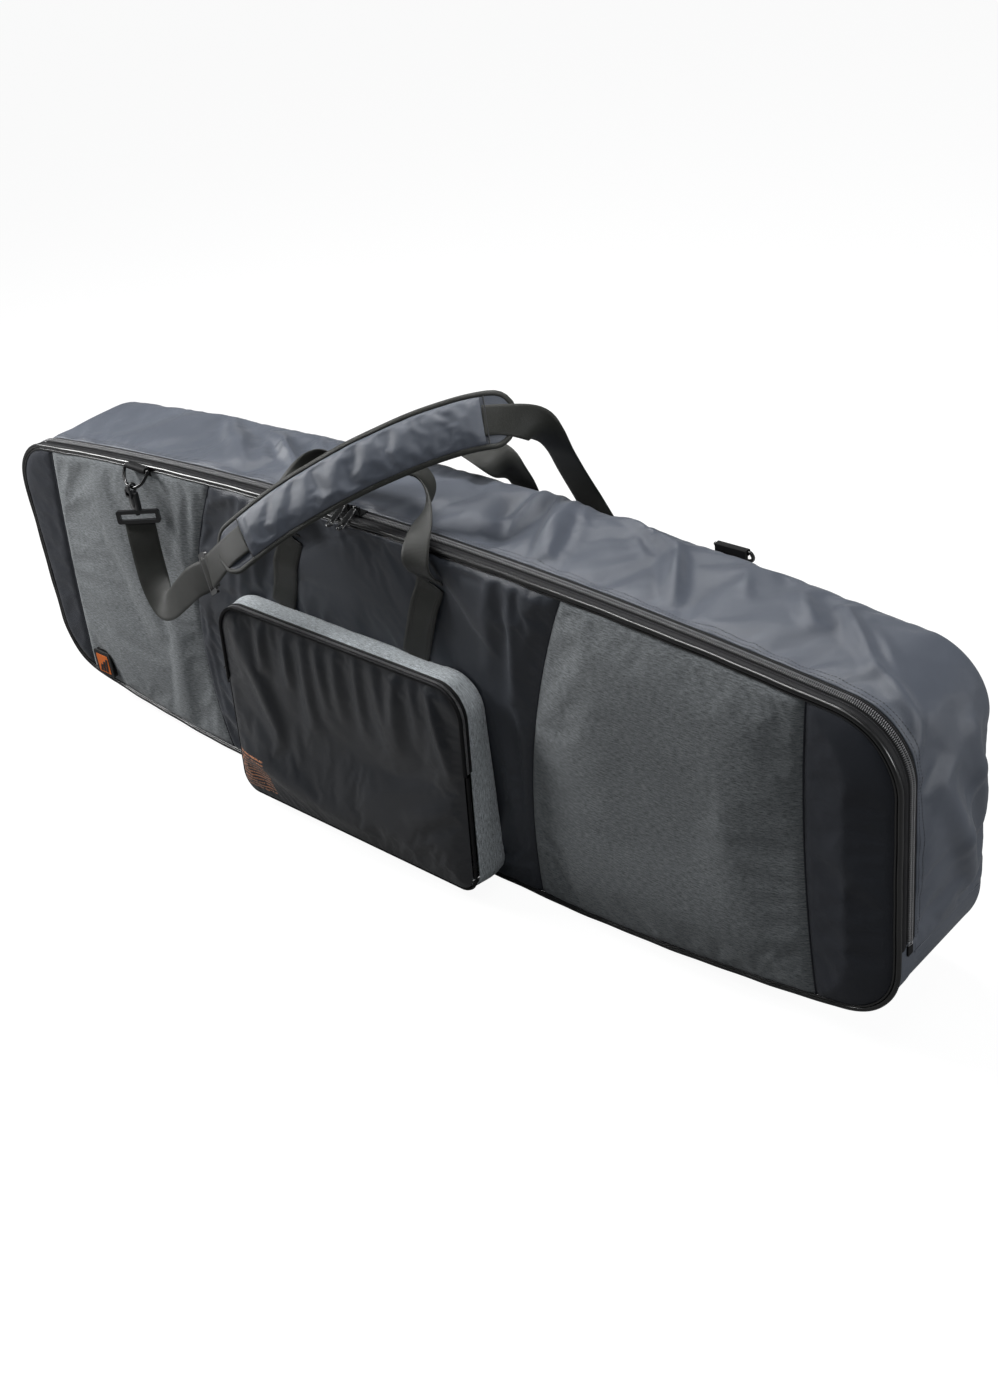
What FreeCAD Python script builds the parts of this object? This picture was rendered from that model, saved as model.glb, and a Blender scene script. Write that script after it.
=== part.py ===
"""Padded board bag standing on its long edge.

Frame: origin at the middle of the flat part of the base, +X along the length,
-Y out of the front (the lid), +Z up.  All sizes in millimetres.
"""
import FreeCAD, Part
import math
import os
from FreeCAD import Placement, Rotation, Vector

doc = FreeCAD.newDocument("board_bag")

# ---------------------------------------------------------------- driving sizes
SIZES = [
    ("bag_length", 1650.0, "length over the piping at both ends"),
    ("bag_height", 520.0, "height at the middle"),
    ("bag_depth", 210.0, "front of the lid to outside of the back"),
    ("corner_radius", 95.0, "outline corners"),
    ("top_radius", 6700.0, "long top edge"),
    ("base_radius", 3100.0, "long bottom edge beyond the flat"),
    ("base_flat_half", 220.0, "half length of the flat part of the base"),
    ("seat_gap", 0.3, "rest clearance between pieces of different bodies"),
    ("base_clear", 0.5, "base panel behind the lid's piping"),
    ("piping_radius", 3.5, "piping around the lid"),
    ("piping_lift", 0.6, "piping above the base's rest face"),
    ("wall_inset", 4.5, "outside of the side walls to the outline"),
    ("wall_thick", 4.0, "padded side wall"),
    ("lid_panel_thick", 7.0, "padded front panels"),
    ("lining_thick", 3.0, "lining behind the front panels"),
    ("back_thick", 8.0, "padded back panel"),
    ("back_edge_round", 6.0, "rounding of the back edge"),
    ("back_foam_thick", 5.0, "foam sheet inside the back"),
    ("back_foam_margin", 40.0, "foam sheet edge to the outline"),
    ("strip_depth", 26.4, "front of the lid to the zip split"),
    ("zip_split", 1.2, "gap between the two zip chains"),
    ("zip_end_height", 165.0, "height where the main zip stops on both ends"),
    ("tape_thick", 0.8, "zip tape"),
    ("tape_width", 14.0, "zip tape, one side"),
    ("chain_height", 2.2, "zip chain above its tape"),
    ("chain_width", 4.6, "zip chain, one side"),
    ("zip_stop_height", 14.0, "fabric tab over each zip end"),
    ("slider_length", 17.0, "main zip slider along the chain"),
    ("slider_plate", 1.8, "slider plates"),
    ("slider_clear", 0.5, "slider plate over chain"),
    ("slider_post", 0.6, "slider post in the split"),
    ("slider_post_length", 5.0, "slider post along the split"),
    ("slider_rest_left", -37.0, "left slider along the top"),
    ("slider_rest_right", -16.0, "right slider along the top"),
    ("bridge_radius", 1.1, "bar that carries a zip pull"),
    ("bridge_rise", 9.5, "bar above the slider plate"),
    ("bridge_reach", 2.0, "bar in front of the lid's zip chain"),
    ("pull_length", 40.0, "zip pull"),
    ("pull_width", 10.0, "zip pull"),
    ("pull_thick", 2.0, "zip pull"),
    ("pull_shoulder", 8.0, "zip pull widens from its eye over this length"),
    ("pull_hole_share", 0.3, "radius of the hole in a pull by the pull's width"),
    ("eye_clear", 0.25, "pull's eye around its bar"),
    ("eye_wall", 1.3, "wall of a pull's eye"),
    ("ear_wall", 0.3, "ear of a slider around its bar"),
    ("pull_slope", 26.5, "zip pull below level at rest, degrees"),
    ("web_width", 48.0, "webbing"),
    ("web_thick", 2.0, "webbing"),
    ("handle_centre", -5.5, "middle of the handles along the bag"),
    ("handle_half_span", 136.5, "middle of a handle leg to the handle's middle"),
    ("handle_seam_height", 466.0, "where a handle leg leaves its seam"),
    ("handle_rise", 116.0, "front handle above its seam"),
    ("handle_lean", 95.0, "top of the front handle lies back over the bag"),
    ("handle_bow", 19.0, "legs of the front handle stand off the lid"),
    ("rear_lean", 26.0, "top of the rear handle lies over the bag"),
    ("rear_bow", 13.0, "legs of the rear handle stand off the back"),
    ("rear_half_span", 118.0, "middle of a rear handle leg to its middle"),
    ("rear_handle_rise", 92.0, "rear handle above its seam"),
    ("rear_anchor_length", 150.0, "webbing sewn down under the rear handle"),
    ("anchor_lean", 45.0, "how far a front anchor strip runs aside"),
    ("pocket_left", -287.0, "left side of the front pocket"),
    ("pocket_right", 200.0, "right side of the front pocket"),
    ("pocket_bottom", 22.0, "underside of the front pocket"),
    ("pocket_top", 340.0, "top of the front pocket"),
    ("pocket_top_depth", 40.0, "depth of the pocket at its top"),
    ("pocket_bottom_depth", 62.0, "depth of the pocket at its bottom"),
    ("pocket_wall", 3.0, "pocket side wall"),
    ("pocket_face", 4.0, "pocket face"),
    ("pocket_corner", 45.0, "top corners of the pocket"),
    ("pocket_foot_corner", 28.0, "bottom corners of the pocket"),
    ("flap_line", 215.0, "height where the pocket zip stops"),
    ("flap_gap", 0.4, "fixed pocket face below the flap"),
    ("pocket_chain", 2.2, "pocket zip ridge"),
    ("pocket_ridge_width", 4.5, "pocket zip ridge on the pocket's wall"),
    ("pocket_pull_width", 7.0, "pocket zip pull"),
    ("pocket_bar_off", 3.4, "bar beside the pocket slider's plate"),
    ("pocket_slider_length", 12.0, "pocket slider along its zip"),
    ("pocket_slider_rest", 232.0, "height of the pocket slider"),
    ("pocket_pull_length", 26.0, "pocket zip pull"),
    ("ring_rod", 2.5, "radius of the rod of a D-ring"),
    ("ring_width", 48.0, "clear width of a D-ring"),
    ("ring_drop", 30.0, "straight bar of a D-ring to its round end"),
    ("ring_tab_drop", 4.0, "top of the ring's tab to the straight bar"),
    ("ring_tab_root", 16.0, "height of the ring's tab where it is sewn on"),
    ("ring_stand_off", 7.0, "straight bar of a D-ring in front of its panel"),
    ("ring_seam_height", 504.0, "height of the seam that holds a ring's tab"),
    ("hook_stand_off", 24.0, "middle of a hook in front of its panel"),
    ("claw_inner", 4.6, "inner radius of the hook claw"),
    ("claw_rod", 2.4, "radius of the rod of the hook claw"),
    ("claw_start", -152.0, "bearing of the claw's root, degrees"),
    ("claw_end", 126.0, "bearing of the claw's tip, degrees"),
    ("hook_width", 20.0, "hook body"),
    ("hook_thick", 9.0, "hook body"),
    ("hook_body", 28.0, "hook body"),
    ("gate_thick", 3.0, "hook gate"),
    ("gate_width", 8.0, "hook gate"),
    ("gate_pin", 0.8, "radius of the gate's pin"),
    ("gate_pin_drop", 1.4, "gate's pin below the middle of the claw"),
    ("gate_ear", 2.0, "ears that hold the gate's pin"),
    ("gate_ear_foot", 6.0, "ears run this far down the hook body"),
    ("pin_clear", 0.1, "radial clearance of the turning pins"),
    ("swivel_radius", 2.0, "swivel pin of the hook"),
    ("swivel_flange", 1.6, "head of the swivel pin: thickness and overhang"),
    ("swivel_gap", 2.0, "hook body to the strap loop"),
    ("loop_width", 68.0, "strap loop under the hook"),
    ("loop_height", 22.0, "strap loop under the hook"),
    ("loop_bar", 6.0, "bars of the strap loop"),
    ("loop_thick", 5.0, "strap loop"),
    ("loop_turn", 35.0, "front strap loop turned on its swivel at rest, degrees"),
    ("front_ring_x", -470.0, "front D-ring along the bag"),
    ("rear_ring_x", 457.0, "rear D-ring along the bag"),
    ("glide_width", 62.0, "tri-glide buckle across the strap"),
    ("glide_length", 34.0, "tri-glide buckle along the strap"),
    ("glide_bar", 6.5, "bars of the tri-glide buckle"),
    ("glide_thick", 4.0, "tri-glide buckle"),
    ("pad_width", 70.0, "shoulder pad"),
    ("strap_tail", 8.0, "straight end of the webbing beside the pad"),
    ("tail_width", 30.0, "webbing where it enters the pad"),
    ("strap_drop", 6.0, "straight webbing under each loop"),
    ("pad_thick", 12.0, "shoulder pad"),
    ("patch_width", 44.0, "patch on the left grey panel"),
    ("patch_height", 48.0, "patch on the left grey panel"),
    ("patch_thick", 1.5, "patch"),
    ("patch_corner", 6.0, "patch corners"),
    ("patch_x", -713.0, "middle of the patch along the bag"),
    ("patch_z", 80.0, "middle of the patch above the base"),
]

sheet = doc.addObject("Spreadsheet::Sheet", "Sizes")
for row, (alias, value, note) in enumerate(SIZES, start=1):
    sheet.set("A%d" % row, note)
    sheet.set("B%d" % row, str(value))
    sheet.setAlias("B%d" % row, alias)
doc.recompute()


def size(alias):
    """A driving size, read from the sheet."""
    return float(sheet.get(alias))


FRONT = -size("bag_depth") / 2
BACK = size("bag_depth") / 2
SPLIT = FRONT + size("strip_depth") + size("zip_split") / 2
LID_EDGE = SPLIT - size("zip_split") / 2
SHELL_EDGE = SPLIT + size("zip_split") / 2
PANEL_INSET = 2 * size("piping_radius")
PANEL_FOOT = PANEL_INSET + size("piping_lift")
PANEL_BACK = FRONT + size("lid_panel_thick")
WALL_INSET = size("wall_inset")
WALL_INSIDE = WALL_INSET + size("wall_thick")
TAPE_OUT = WALL_INSET - size("tape_thick")
CHAIN_OUT = TAPE_OUT - size("chain_height")
ZIP_END = size("zip_end_height")
TOP_CENTRE_Z = size("bag_height") - size("top_radius")

parts = {}


def keep(label, obj):
    """Name a finished sub-part and list it for export."""
    obj.Label = label
    parts[label] = obj
    return obj


# ------------------------------------------------------------- outline in X and Z
def on_circle(centre, radius, degrees):
    angle = math.radians(degrees)
    return (centre[0] + radius * math.cos(angle), centre[1] + radius * math.sin(angle))


def bearing(centre, point):
    return math.degrees(math.atan2(point[1] - centre[1], point[0] - centre[0]))


def arc(centre, radius, start, end):
    """A path segment along a circle, angles in degrees."""
    middle = (start + end) / 2
    return [on_circle(centre, radius, angle) for angle in (start, middle, end)]


def mirrored(path):
    """The path on the other side of X = 0, run the other way."""
    return [[(-x, z) for x, z in reversed(segment)] for segment in reversed(path)]


def reverse(path):
    return [list(reversed(segment)) for segment in reversed(path)]


def right_side(inset, foot, low=None):
    """Right half of the bag's outline from the top middle down.

    inset moves the top and the end inwards, foot lifts the bottom, and a given
    low stops the path at that height on the straight end.
    """
    half = size("bag_length") / 2 - inset
    corner = size("corner_radius") - inset
    corner_x = half - corner
    top = size("top_radius") - inset
    top_centre = (0.0, TOP_CENTRE_Z)
    shoulder = (corner_x, TOP_CENTRE_Z + math.sqrt((top - corner) ** 2 - corner_x ** 2))
    flat = size("base_flat_half")
    base = size("base_radius") - foot
    base_centre = (flat, size("base_radius"))
    reach = corner_x - flat
    heel = (corner_x, size("base_radius") - math.sqrt((base - corner) ** 2 - reach ** 2))
    turn = bearing(top_centre, shoulder)
    base_turn = bearing(base_centre, heel)
    path = [arc(top_centre, top, 90, turn), arc(shoulder, corner, turn, 0)]
    if low is not None:
        return path + [[(half, shoulder[1]), (half, low)]]
    path.append([(half, shoulder[1]), (half, heel[1])])
    path.append(arc(heel, corner, 0, base_turn))
    path.append(arc(base_centre, base, base_turn, -90))
    path.append([(flat, foot), (0.0, foot)])
    return path


def outline(inset, foot):
    right = right_side(inset, foot)
    return right + mirrored(right)


def arch(inset, low):
    """Open path over the top, from the right end up, along and down the left end."""
    right = right_side(inset, 0.0, low)
    return reverse(right) + reverse(mirrored(right))


def cradle(inset, foot, high):
    """Open path under the bag, from high on the right end to high on the left end."""
    low_half = right_side(inset, foot)[2:]
    low_half[0] = [(low_half[0][0][0], high), low_half[0][1]]
    return low_half + mirrored(low_half)


def band(outer, inner):
    """Closed path between two open ones."""
    back = reverse(inner)
    return outer + [[outer[-1][-1], back[0][0]]] + back + [[back[-1][-1], outer[0][0]]]


def geometry(path):
    """Sketch geometry of a path: two points make a line, three an arc."""
    found = []
    for segment in path:
        ends = [Vector(u, v, 0) for u, v in segment]
        found.append(Part.LineSegment(*ends) if len(ends) == 2 else Part.ArcOfCircle(*ends))
    return found


# ----------------------------------------------------------------- part builders
def plane_of(body, role):
    return [item for item in body.Origin.OriginFeatures if item.Role == role][0]


def body_sketch(body, role, paths):
    sketch = body.newObject("Sketcher::SketchObject", body.Name + "_sketch")
    sketch.AttachmentSupport = (plane_of(body, role), "")
    sketch.MapMode = "FlatFace"
    for path in paths:
        sketch.addGeometry(geometry(path), False)
    return sketch


def padded_body(label, paths, length, at_y, role="XZ_Plane", midplane=False):
    """A body padded from a profile towards -Y; length and at_y are expressions."""
    body = doc.addObject("PartDesign::Body", label)
    sketch = body_sketch(body, role, paths)
    pad = body.newObject("PartDesign::Pad", label + "_pad")
    pad.Profile = sketch
    pad.Midplane = midplane
    pad.setExpression("Length", length)
    sketch.Visibility = False
    if at_y is not None:
        body.setExpression("Placement.Base.y", at_y)
    return keep(label, body)


def loose_sketch(name, paths, at_y):
    """A sketch in a plane parallel to XZ, for extrusions that are then cut."""
    sketch = doc.addObject("Sketcher::SketchObject", name)
    sketch.Placement = Placement(Vector(0, at_y, 0), Rotation(Vector(1, 0, 0), 90))
    for path in paths:
        sketch.addGeometry(geometry(path), False)
    return sketch


def prism(name, paths, at_y, length):
    """A solid that runs from at_y towards -Y."""
    solid = doc.addObject("Part::Extrusion", name)
    solid.Base = loose_sketch(name + "_sketch", paths, at_y)
    solid.DirMode = "Custom"
    solid.Dir = Vector(0, -1, 0)
    solid.LengthFwd = length
    solid.Solid = True
    return solid


def common(label, base, tool):
    result = doc.addObject("Part::Common", label)
    result.Base = base
    result.Tool = tool
    return result


def ribbon(label, stations, width, thick):
    """Flat webbing through stations, each a centre and the way its width runs."""
    sections = []
    for index, (centre, across) in enumerate(stations):
        before = stations[max(index - 1, 0)][0]
        after = stations[min(index + 1, len(stations) - 1)][0]
        along = (after - before).normalize()
        side = (across - along * across.dot(along)).normalize()
        normal = along.cross(side).normalize()
        half_side = side * (width[index] / 2)
        half_normal = normal * (thick / 2)
        corners = [
            centre + half_side + half_normal,
            centre - half_side + half_normal,
            centre - half_side - half_normal,
            centre + half_side - half_normal,
        ]
        sections.append([
            Part.LineSegment(corner, corners[(place + 1) % 4]).toShape()
            for place, corner in enumerate(corners)
        ])
    faces = [Part.Face(Part.Wire(sections[0])), Part.Face(Part.Wire(sections[-1]))]
    for near, far in zip(sections, sections[1:]):
        faces += [Part.makeRuledSurface(a, b) for a, b in zip(near, far)]
    skin = Part.makeShell(faces)
    skin.sewShape()
    block_shape = Part.makeSolid(skin)
    if block_shape.Volume < 0:
        block_shape.reverse()
    solid = doc.addObject("Part::Feature", label)
    solid.Shape = block_shape
    return keep(label, solid)


def block(label, low, high):
    """A Part::Box between two corners."""
    box = doc.addObject("Part::Box", label)
    box.Length = high[0] - low[0]
    box.Width = high[1] - low[1]
    box.Height = high[2] - low[2]
    box.Placement.Base = Vector(*low)
    return box


def rod(name, radius, start, end):
    """A Part::Cylinder between two points."""
    axis = end - start
    solid = doc.addObject("Part::Cylinder", name)
    solid.Radius = radius
    solid.Height = axis.Length
    solid.Placement = Placement(start, Rotation(Vector(0, 0, 1), axis))
    return solid


def fuse(label, shapes):
    result = doc.addObject("Part::MultiFuse", label)
    result.Shapes = shapes
    result.Refine = True
    return result


def rounded_box_path(left, right, low, high, top_round, foot_round):
    """Rounded rectangle in X and Z, from the lower right corner up."""
    return [
        [(right, low + foot_round), (right, high - top_round)],
        arc((right - top_round, high - top_round), top_round, 0, 90),
        [(right - top_round, high), (left + top_round, high)],
        arc((left + top_round, high - top_round), top_round, 90, 180),
        [(left, high - top_round), (left, low + foot_round)],
        arc((left + foot_round, low + foot_round), foot_round, 180, 270),
        [(left + foot_round, low), (right - foot_round, low)],
        arc((right - foot_round, low + foot_round), foot_round, 270, 360),
    ]


# ------------------------------------------------------------------------- shell
def build_shell():
    """Side walls, base, back and the shell's half of the main zip."""
    padded_body(
        "gusset_wall",
        [band(arch(WALL_INSET, ZIP_END), arch(WALL_INSIDE, ZIP_END))],
        "Sizes.bag_depth - Sizes.back_thick - Sizes.strip_depth - Sizes.zip_split",
        "Sizes.bag_depth / 2 - Sizes.back_thick",
    )
    base_outer = cradle(WALL_INSET, 0.0, ZIP_END)
    base_inner = cradle(WALL_INSIDE, size("wall_thick"), ZIP_END)
    padded_body(
        "base_panel",
        [band(base_outer, base_inner)],
        "Sizes.bag_depth - Sizes.back_thick - 2 * Sizes.piping_radius - Sizes.base_clear",
        "Sizes.bag_depth / 2 - Sizes.back_thick",
    )
    back = padded_body(
        "back_panel",
        [outline(WALL_INSET, 0.0)],
        "Sizes.back_thick",
        "Sizes.bag_depth / 2",
    )
    doc.recompute()
    rear = [
        "Edge%d" % (index + 1)
        for index, edge in enumerate(back.Shape.Edges)
        if abs(edge.BoundBox.YMin - BACK) < 0.01 and abs(edge.BoundBox.YMax - BACK) < 0.01
    ]
    plate = back.Tip
    rounding = back.newObject("PartDesign::Fillet", "back_round")
    rounding.Base = (plate, rear)
    rounding.setExpression("Radius", "Sizes.back_edge_round")
    back.Tip = rounding
    foam_inset = size("back_foam_margin")
    padded_body(
        "back_foam",
        [outline(foam_inset, foam_inset)],
        "Sizes.back_foam_thick",
        "Sizes.bag_depth / 2 - Sizes.back_thick",
    )
    padded_body(
        "zip_tape_shell",
        [band(arch(TAPE_OUT, ZIP_END), arch(WALL_INSET, ZIP_END))],
        "Sizes.tape_width",
        "-Sizes.bag_depth / 2 + Sizes.strip_depth + Sizes.zip_split + Sizes.tape_width",
    )
    padded_body(
        "zip_chain_shell",
        [band(arch(CHAIN_OUT, ZIP_END), arch(TAPE_OUT, ZIP_END))],
        "Sizes.chain_width",
        "-Sizes.bag_depth / 2 + Sizes.strip_depth + Sizes.zip_split + Sizes.chain_width",
    )
    end_face = size("bag_length") / 2 - WALL_INSET
    for side, sign in (("left", -1), ("right", 1)):
        near = sign * end_face
        far = sign * (end_face + size("tape_thick") + size("chain_height"))
        stop = block(
            "zip_stop_" + side,
            (min(near, far), LID_EDGE - size("chain_width"), ZIP_END - size("zip_stop_height")),
            (max(near, far), SHELL_EDGE + size("chain_width"), ZIP_END - size("seat_gap")),
        )
        keep("zip_stop_" + side, stop)


# --------------------------------------------------------------------------- lid
SEAM_SPARE = 20.0  # how far a cutting shape runs past what it cuts


def seam(top, middle, bottom):
    """A curved seam across the lid, drawn through three shares of the bag's length."""
    length, height = size("bag_length"), size("bag_height")
    return [[(bottom * length, -SEAM_SPARE), (middle * length, height / 2),
             (top * length, height + SEAM_SPARE)]]


def beyond_end(sign):
    """An upright line outside the end of the bag."""
    x = sign * size("bag_length")
    return [[(x, -SEAM_SPARE), (x, size("bag_height") + SEAM_SPARE)]]


SEAMS = [
    beyond_end(-1),
    seam(-0.4267, -0.4515, -0.4630),
    seam(-0.1745, -0.2479, -0.2376),
    seam(0.2242, 0.1685, 0.1600),
    seam(0.4291, 0.4218, 0.4339),
    beyond_end(1),
]
PANELS = ["lid_left_end", "lid_left_grey", "lid_centre", "lid_right_grey", "lid_right_end"]


def build_lid():
    """Front panels, lining, edge strip, piping and the lid's half of the main zip."""
    thick = size("lid_panel_thick")
    for index, label in enumerate(PANELS):
        left, right = SEAMS[index], SEAMS[index + 1]
        plate = prism(label + "_plate", [outline(PANEL_INSET, PANEL_FOOT)], PANEL_BACK, thick)
        stripe = prism(label + "_stripe", [band(left, right)], PANEL_BACK + SEAM_SPARE,
                       thick + 2 * SEAM_SPARE)
        keep(label, common(label, plate, stripe))
    padded_body(
        "lid_lining",
        [outline(WALL_INSIDE, WALL_INSIDE)],
        "Sizes.lining_thick",
        "-Sizes.bag_depth / 2 + Sizes.lid_panel_thick + Sizes.lining_thick",
    )
    padded_body(
        "lid_edge_strip",
        [band(arch(WALL_INSET, ZIP_END), arch(WALL_INSIDE, ZIP_END))],
        "Sizes.strip_depth - 2 * Sizes.piping_radius",
        "-Sizes.bag_depth / 2 + Sizes.strip_depth",
    )
    padded_body(
        "zip_tape_lid",
        [band(arch(TAPE_OUT, ZIP_END), arch(WALL_INSET, ZIP_END))],
        "Sizes.tape_width",
        "-Sizes.bag_depth / 2 + Sizes.strip_depth",
    )
    padded_body(
        "zip_chain_lid",
        [band(arch(CHAIN_OUT, ZIP_END), arch(TAPE_OUT, ZIP_END))],
        "Sizes.chain_width",
        "-Sizes.bag_depth / 2 + Sizes.strip_depth",
    )
    build_piping()
    build_patch()


def build_piping():
    """A round cord sewn round the whole edge of the lid."""
    radius = size("piping_radius")
    body = doc.addObject("PartDesign::Body", "lid_piping")
    spine = body_sketch(body, "XZ_Plane", [outline(radius, radius + size("piping_lift"))])
    section = body.newObject("Sketcher::SketchObject", "piping_section")
    section.AttachmentSupport = (plane_of(body, "YZ_Plane"), "")
    section.MapMode = "FlatFace"
    start = Vector(0, size("bag_height") - radius, 0)
    section.addGeometry(Part.Circle(start, Vector(0, 0, 1), radius), False)
    pipe = body.newObject("PartDesign::AdditivePipe", "piping_pipe")
    pipe.Profile = section
    pipe.Spine = (spine, [])
    body.setExpression("Placement.Base.y", "-Sizes.bag_depth / 2 + Sizes.piping_radius")
    keep("lid_piping", body)


def build_patch():
    """Small rubber patch with a raised field."""
    half_width = size("patch_width") / 2
    half_height = size("patch_height") / 2
    x, z = size("patch_x"), size("patch_z")
    path = rounded_box_path(x - half_width, x + half_width, z - half_height, z + half_height,
                            size("patch_corner"), size("patch_corner"))
    padded_body("lid_patch", [path], "Sizes.patch_thick", "-Sizes.bag_depth / 2")


# ------------------------------------------------------------------ main sliders
def slider_plates(side_x):
    """Plates and post of one main slider, built at the top middle of the bag."""
    half = size("slider_length") / 2
    clear = size("slider_clear")
    plate = size("slider_plate")
    top = size("bag_height") - CHAIN_OUT + clear
    under = size("bag_height") - WALL_INSIDE - clear
    reach = size("chain_width") + clear
    back_edge = SHELL_EDGE + reach + plate
    front_edge = pull_bar_y() - size("bridge_radius") - size("ear_wall")
    half_post = size("slider_post") / 2
    post_half_length = size("slider_post_length") / 2
    crown = top + plate
    pieces = [
        block("cap_" + side_x, (-half, front_edge, top), (half, back_edge, crown)),
        block("guide_" + side_x, (-half, back_edge - plate, top - plate), (half, back_edge, top)),
        block("post_" + side_x, (-post_half_length, SPLIT - half_post, under),
              (post_half_length, SPLIT + half_post, top)),
        block("foot_" + side_x, (-half, front_edge, under - plate), (half, back_edge, under)),
    ]
    bar_z = crown + size("bridge_rise")
    bar_y = pull_bar_y()
    post = size("bridge_radius") + size("ear_wall")
    for sign in (-1, 1):
        x = sign * (half - post)
        low = (x - post, bar_y - post, crown)
        high = (x + post, bar_y + post, bar_z + post)
        pieces.append(block("ear_%s_%d" % (side_x, sign + 1), low, high))
    start = Vector(-half + post, bar_y, bar_z)
    end = Vector(half - post, bar_y, bar_z)
    pieces.append(rod("bar_" + side_x, size("bridge_radius"), start, end))
    return fuse("zip_slider_" + side_x, pieces)


def pull_bar_y():
    """The pull's bar sits at the front of the slider, so that the pull hangs over the lid."""
    return LID_EDGE - size("chain_width") - size("bridge_reach")


def along_top(x):
    """Placement that carries a piece from the top middle along the top arc to x."""
    angle = math.degrees(math.asin(x / size("top_radius")))
    pivot = Vector(0, 0, TOP_CENTRE_Z)
    return Placement(Vector(0, 0, 0), Rotation(Vector(0, 1, 0), angle), pivot)


def pull_tab(name, length, width, barrel_length):
    """A pull hanging down from the origin: eye round the X axis, blade with a hole."""
    eye_inner = size("bridge_radius") + size("eye_clear")
    eye_outer = eye_inner + size("eye_wall")
    shoulder = size("pull_shoulder")
    half_thick = size("pull_thick") / 2
    half = width / 2
    hole = width * size("pull_hole_share")
    start = -eye_outer + size("eye_clear")
    tip = -length + half
    blade = [
        [(-barrel_length / 2, start), (-half, start - shoulder)],
        [(-half, start - shoulder), (-half, tip)],
        arc((0, tip), half, 180, 360),
        [(half, tip), (half, start - shoulder)],
        [(half, start - shoulder), (barrel_length / 2, start)],
        [(barrel_length / 2, start), (-barrel_length / 2, start)],
    ]
    ring = Part.Circle(Vector(0, tip, 0), Vector(0, 0, 1), hole)
    body = doc.addObject("PartDesign::Body", name)
    sketch = body_sketch(body, "XZ_Plane", [blade])
    sketch.addGeometry(ring, False)
    pad = body.newObject("PartDesign::Pad", name + "_blade")
    pad.Profile = sketch
    pad.Midplane = True
    pad.Length = 2 * half_thick
    eye = body.newObject("Sketcher::SketchObject", name + "_eye_sketch")
    eye.AttachmentSupport = (plane_of(body, "YZ_Plane"), "")
    eye.MapMode = "FlatFace"
    for radius in (eye_inner, eye_outer):
        eye.addGeometry(Part.Circle(Vector(0, 0, 0), Vector(0, 0, 1), radius), False)
    barrel = body.newObject("PartDesign::Pad", name + "_eye")
    barrel.Profile = eye
    barrel.Midplane = True
    barrel.Length = barrel_length
    return body


def build_sliders():
    """Two sliders head to head on the main zip, each with its pull."""
    crown = size("bag_height") - CHAIN_OUT + size("slider_clear") + size("slider_plate")
    pivot = Vector(0, pull_bar_y(), crown + size("bridge_rise"))
    ear = 2 * (size("bridge_radius") + size("ear_wall"))
    barrel = size("slider_length") - 2 * ear - 2 * size("seat_gap")
    for side in ("left", "right"):
        carry = along_top(size("slider_rest_" + side))
        slider = keep("zip_slider_" + side, slider_plates(side))
        slider.Placement = carry
        pull = keep("zip_pull_" + side, pull_tab("zip_pull_" + side, size("pull_length"),
                                                 size("pull_width"), barrel))
        swing = Rotation(Vector(1, 0, 0), size("pull_slope") - 90)
        pull.Placement = carry.multiply(Placement(pivot, swing))


# ------------------------------------------------------------------------ pocket
def pocket_slope():
    """Lean of the pocket face in degrees: deeper at the bottom than at the top."""
    rise = size("pocket_top") - size("pocket_bottom")
    return math.degrees(math.atan2(size("pocket_bottom_depth") - size("pocket_top_depth"), rise))


def tilted_slab(name, start, thick):
    """A wide slab parallel to the pocket face; start counts from its back plane."""
    slab = doc.addObject("Part::Box", name)
    reach = size("bag_length") / 2
    slab.Length = 2 * reach
    slab.Width = thick
    slab.Height = 2 * reach
    face_top = Vector(0, FRONT - size("pocket_top_depth"), size("pocket_top"))
    slab.Placement = Placement(face_top, Rotation(Vector(1, 0, 0), -pocket_slope())).multiply(
        Placement(Vector(-reach, -start - thick, -reach), Rotation())
    )
    return slab


def pocket_path(grow):
    return rounded_box_path(
        size("pocket_left") - grow,
        size("pocket_right") + grow,
        size("pocket_bottom") - grow,
        size("pocket_top") + grow,
        size("pocket_corner") + grow,
        size("pocket_foot_corner") + grow,
    )


def slice_box(name, low, high):
    """A box around the whole front of the bag between two heights."""
    reach = size("bag_length") / 2
    return block(name, (-reach, -reach, low), (reach, 0, high))


def above_flap_line(name, solid, clear):
    """Cut a solid so that only what lies above the flap line is left."""
    above = slice_box(name + "_keep", size("flap_line") + clear, size("bag_height"))
    return common(name, solid, above)


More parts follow.
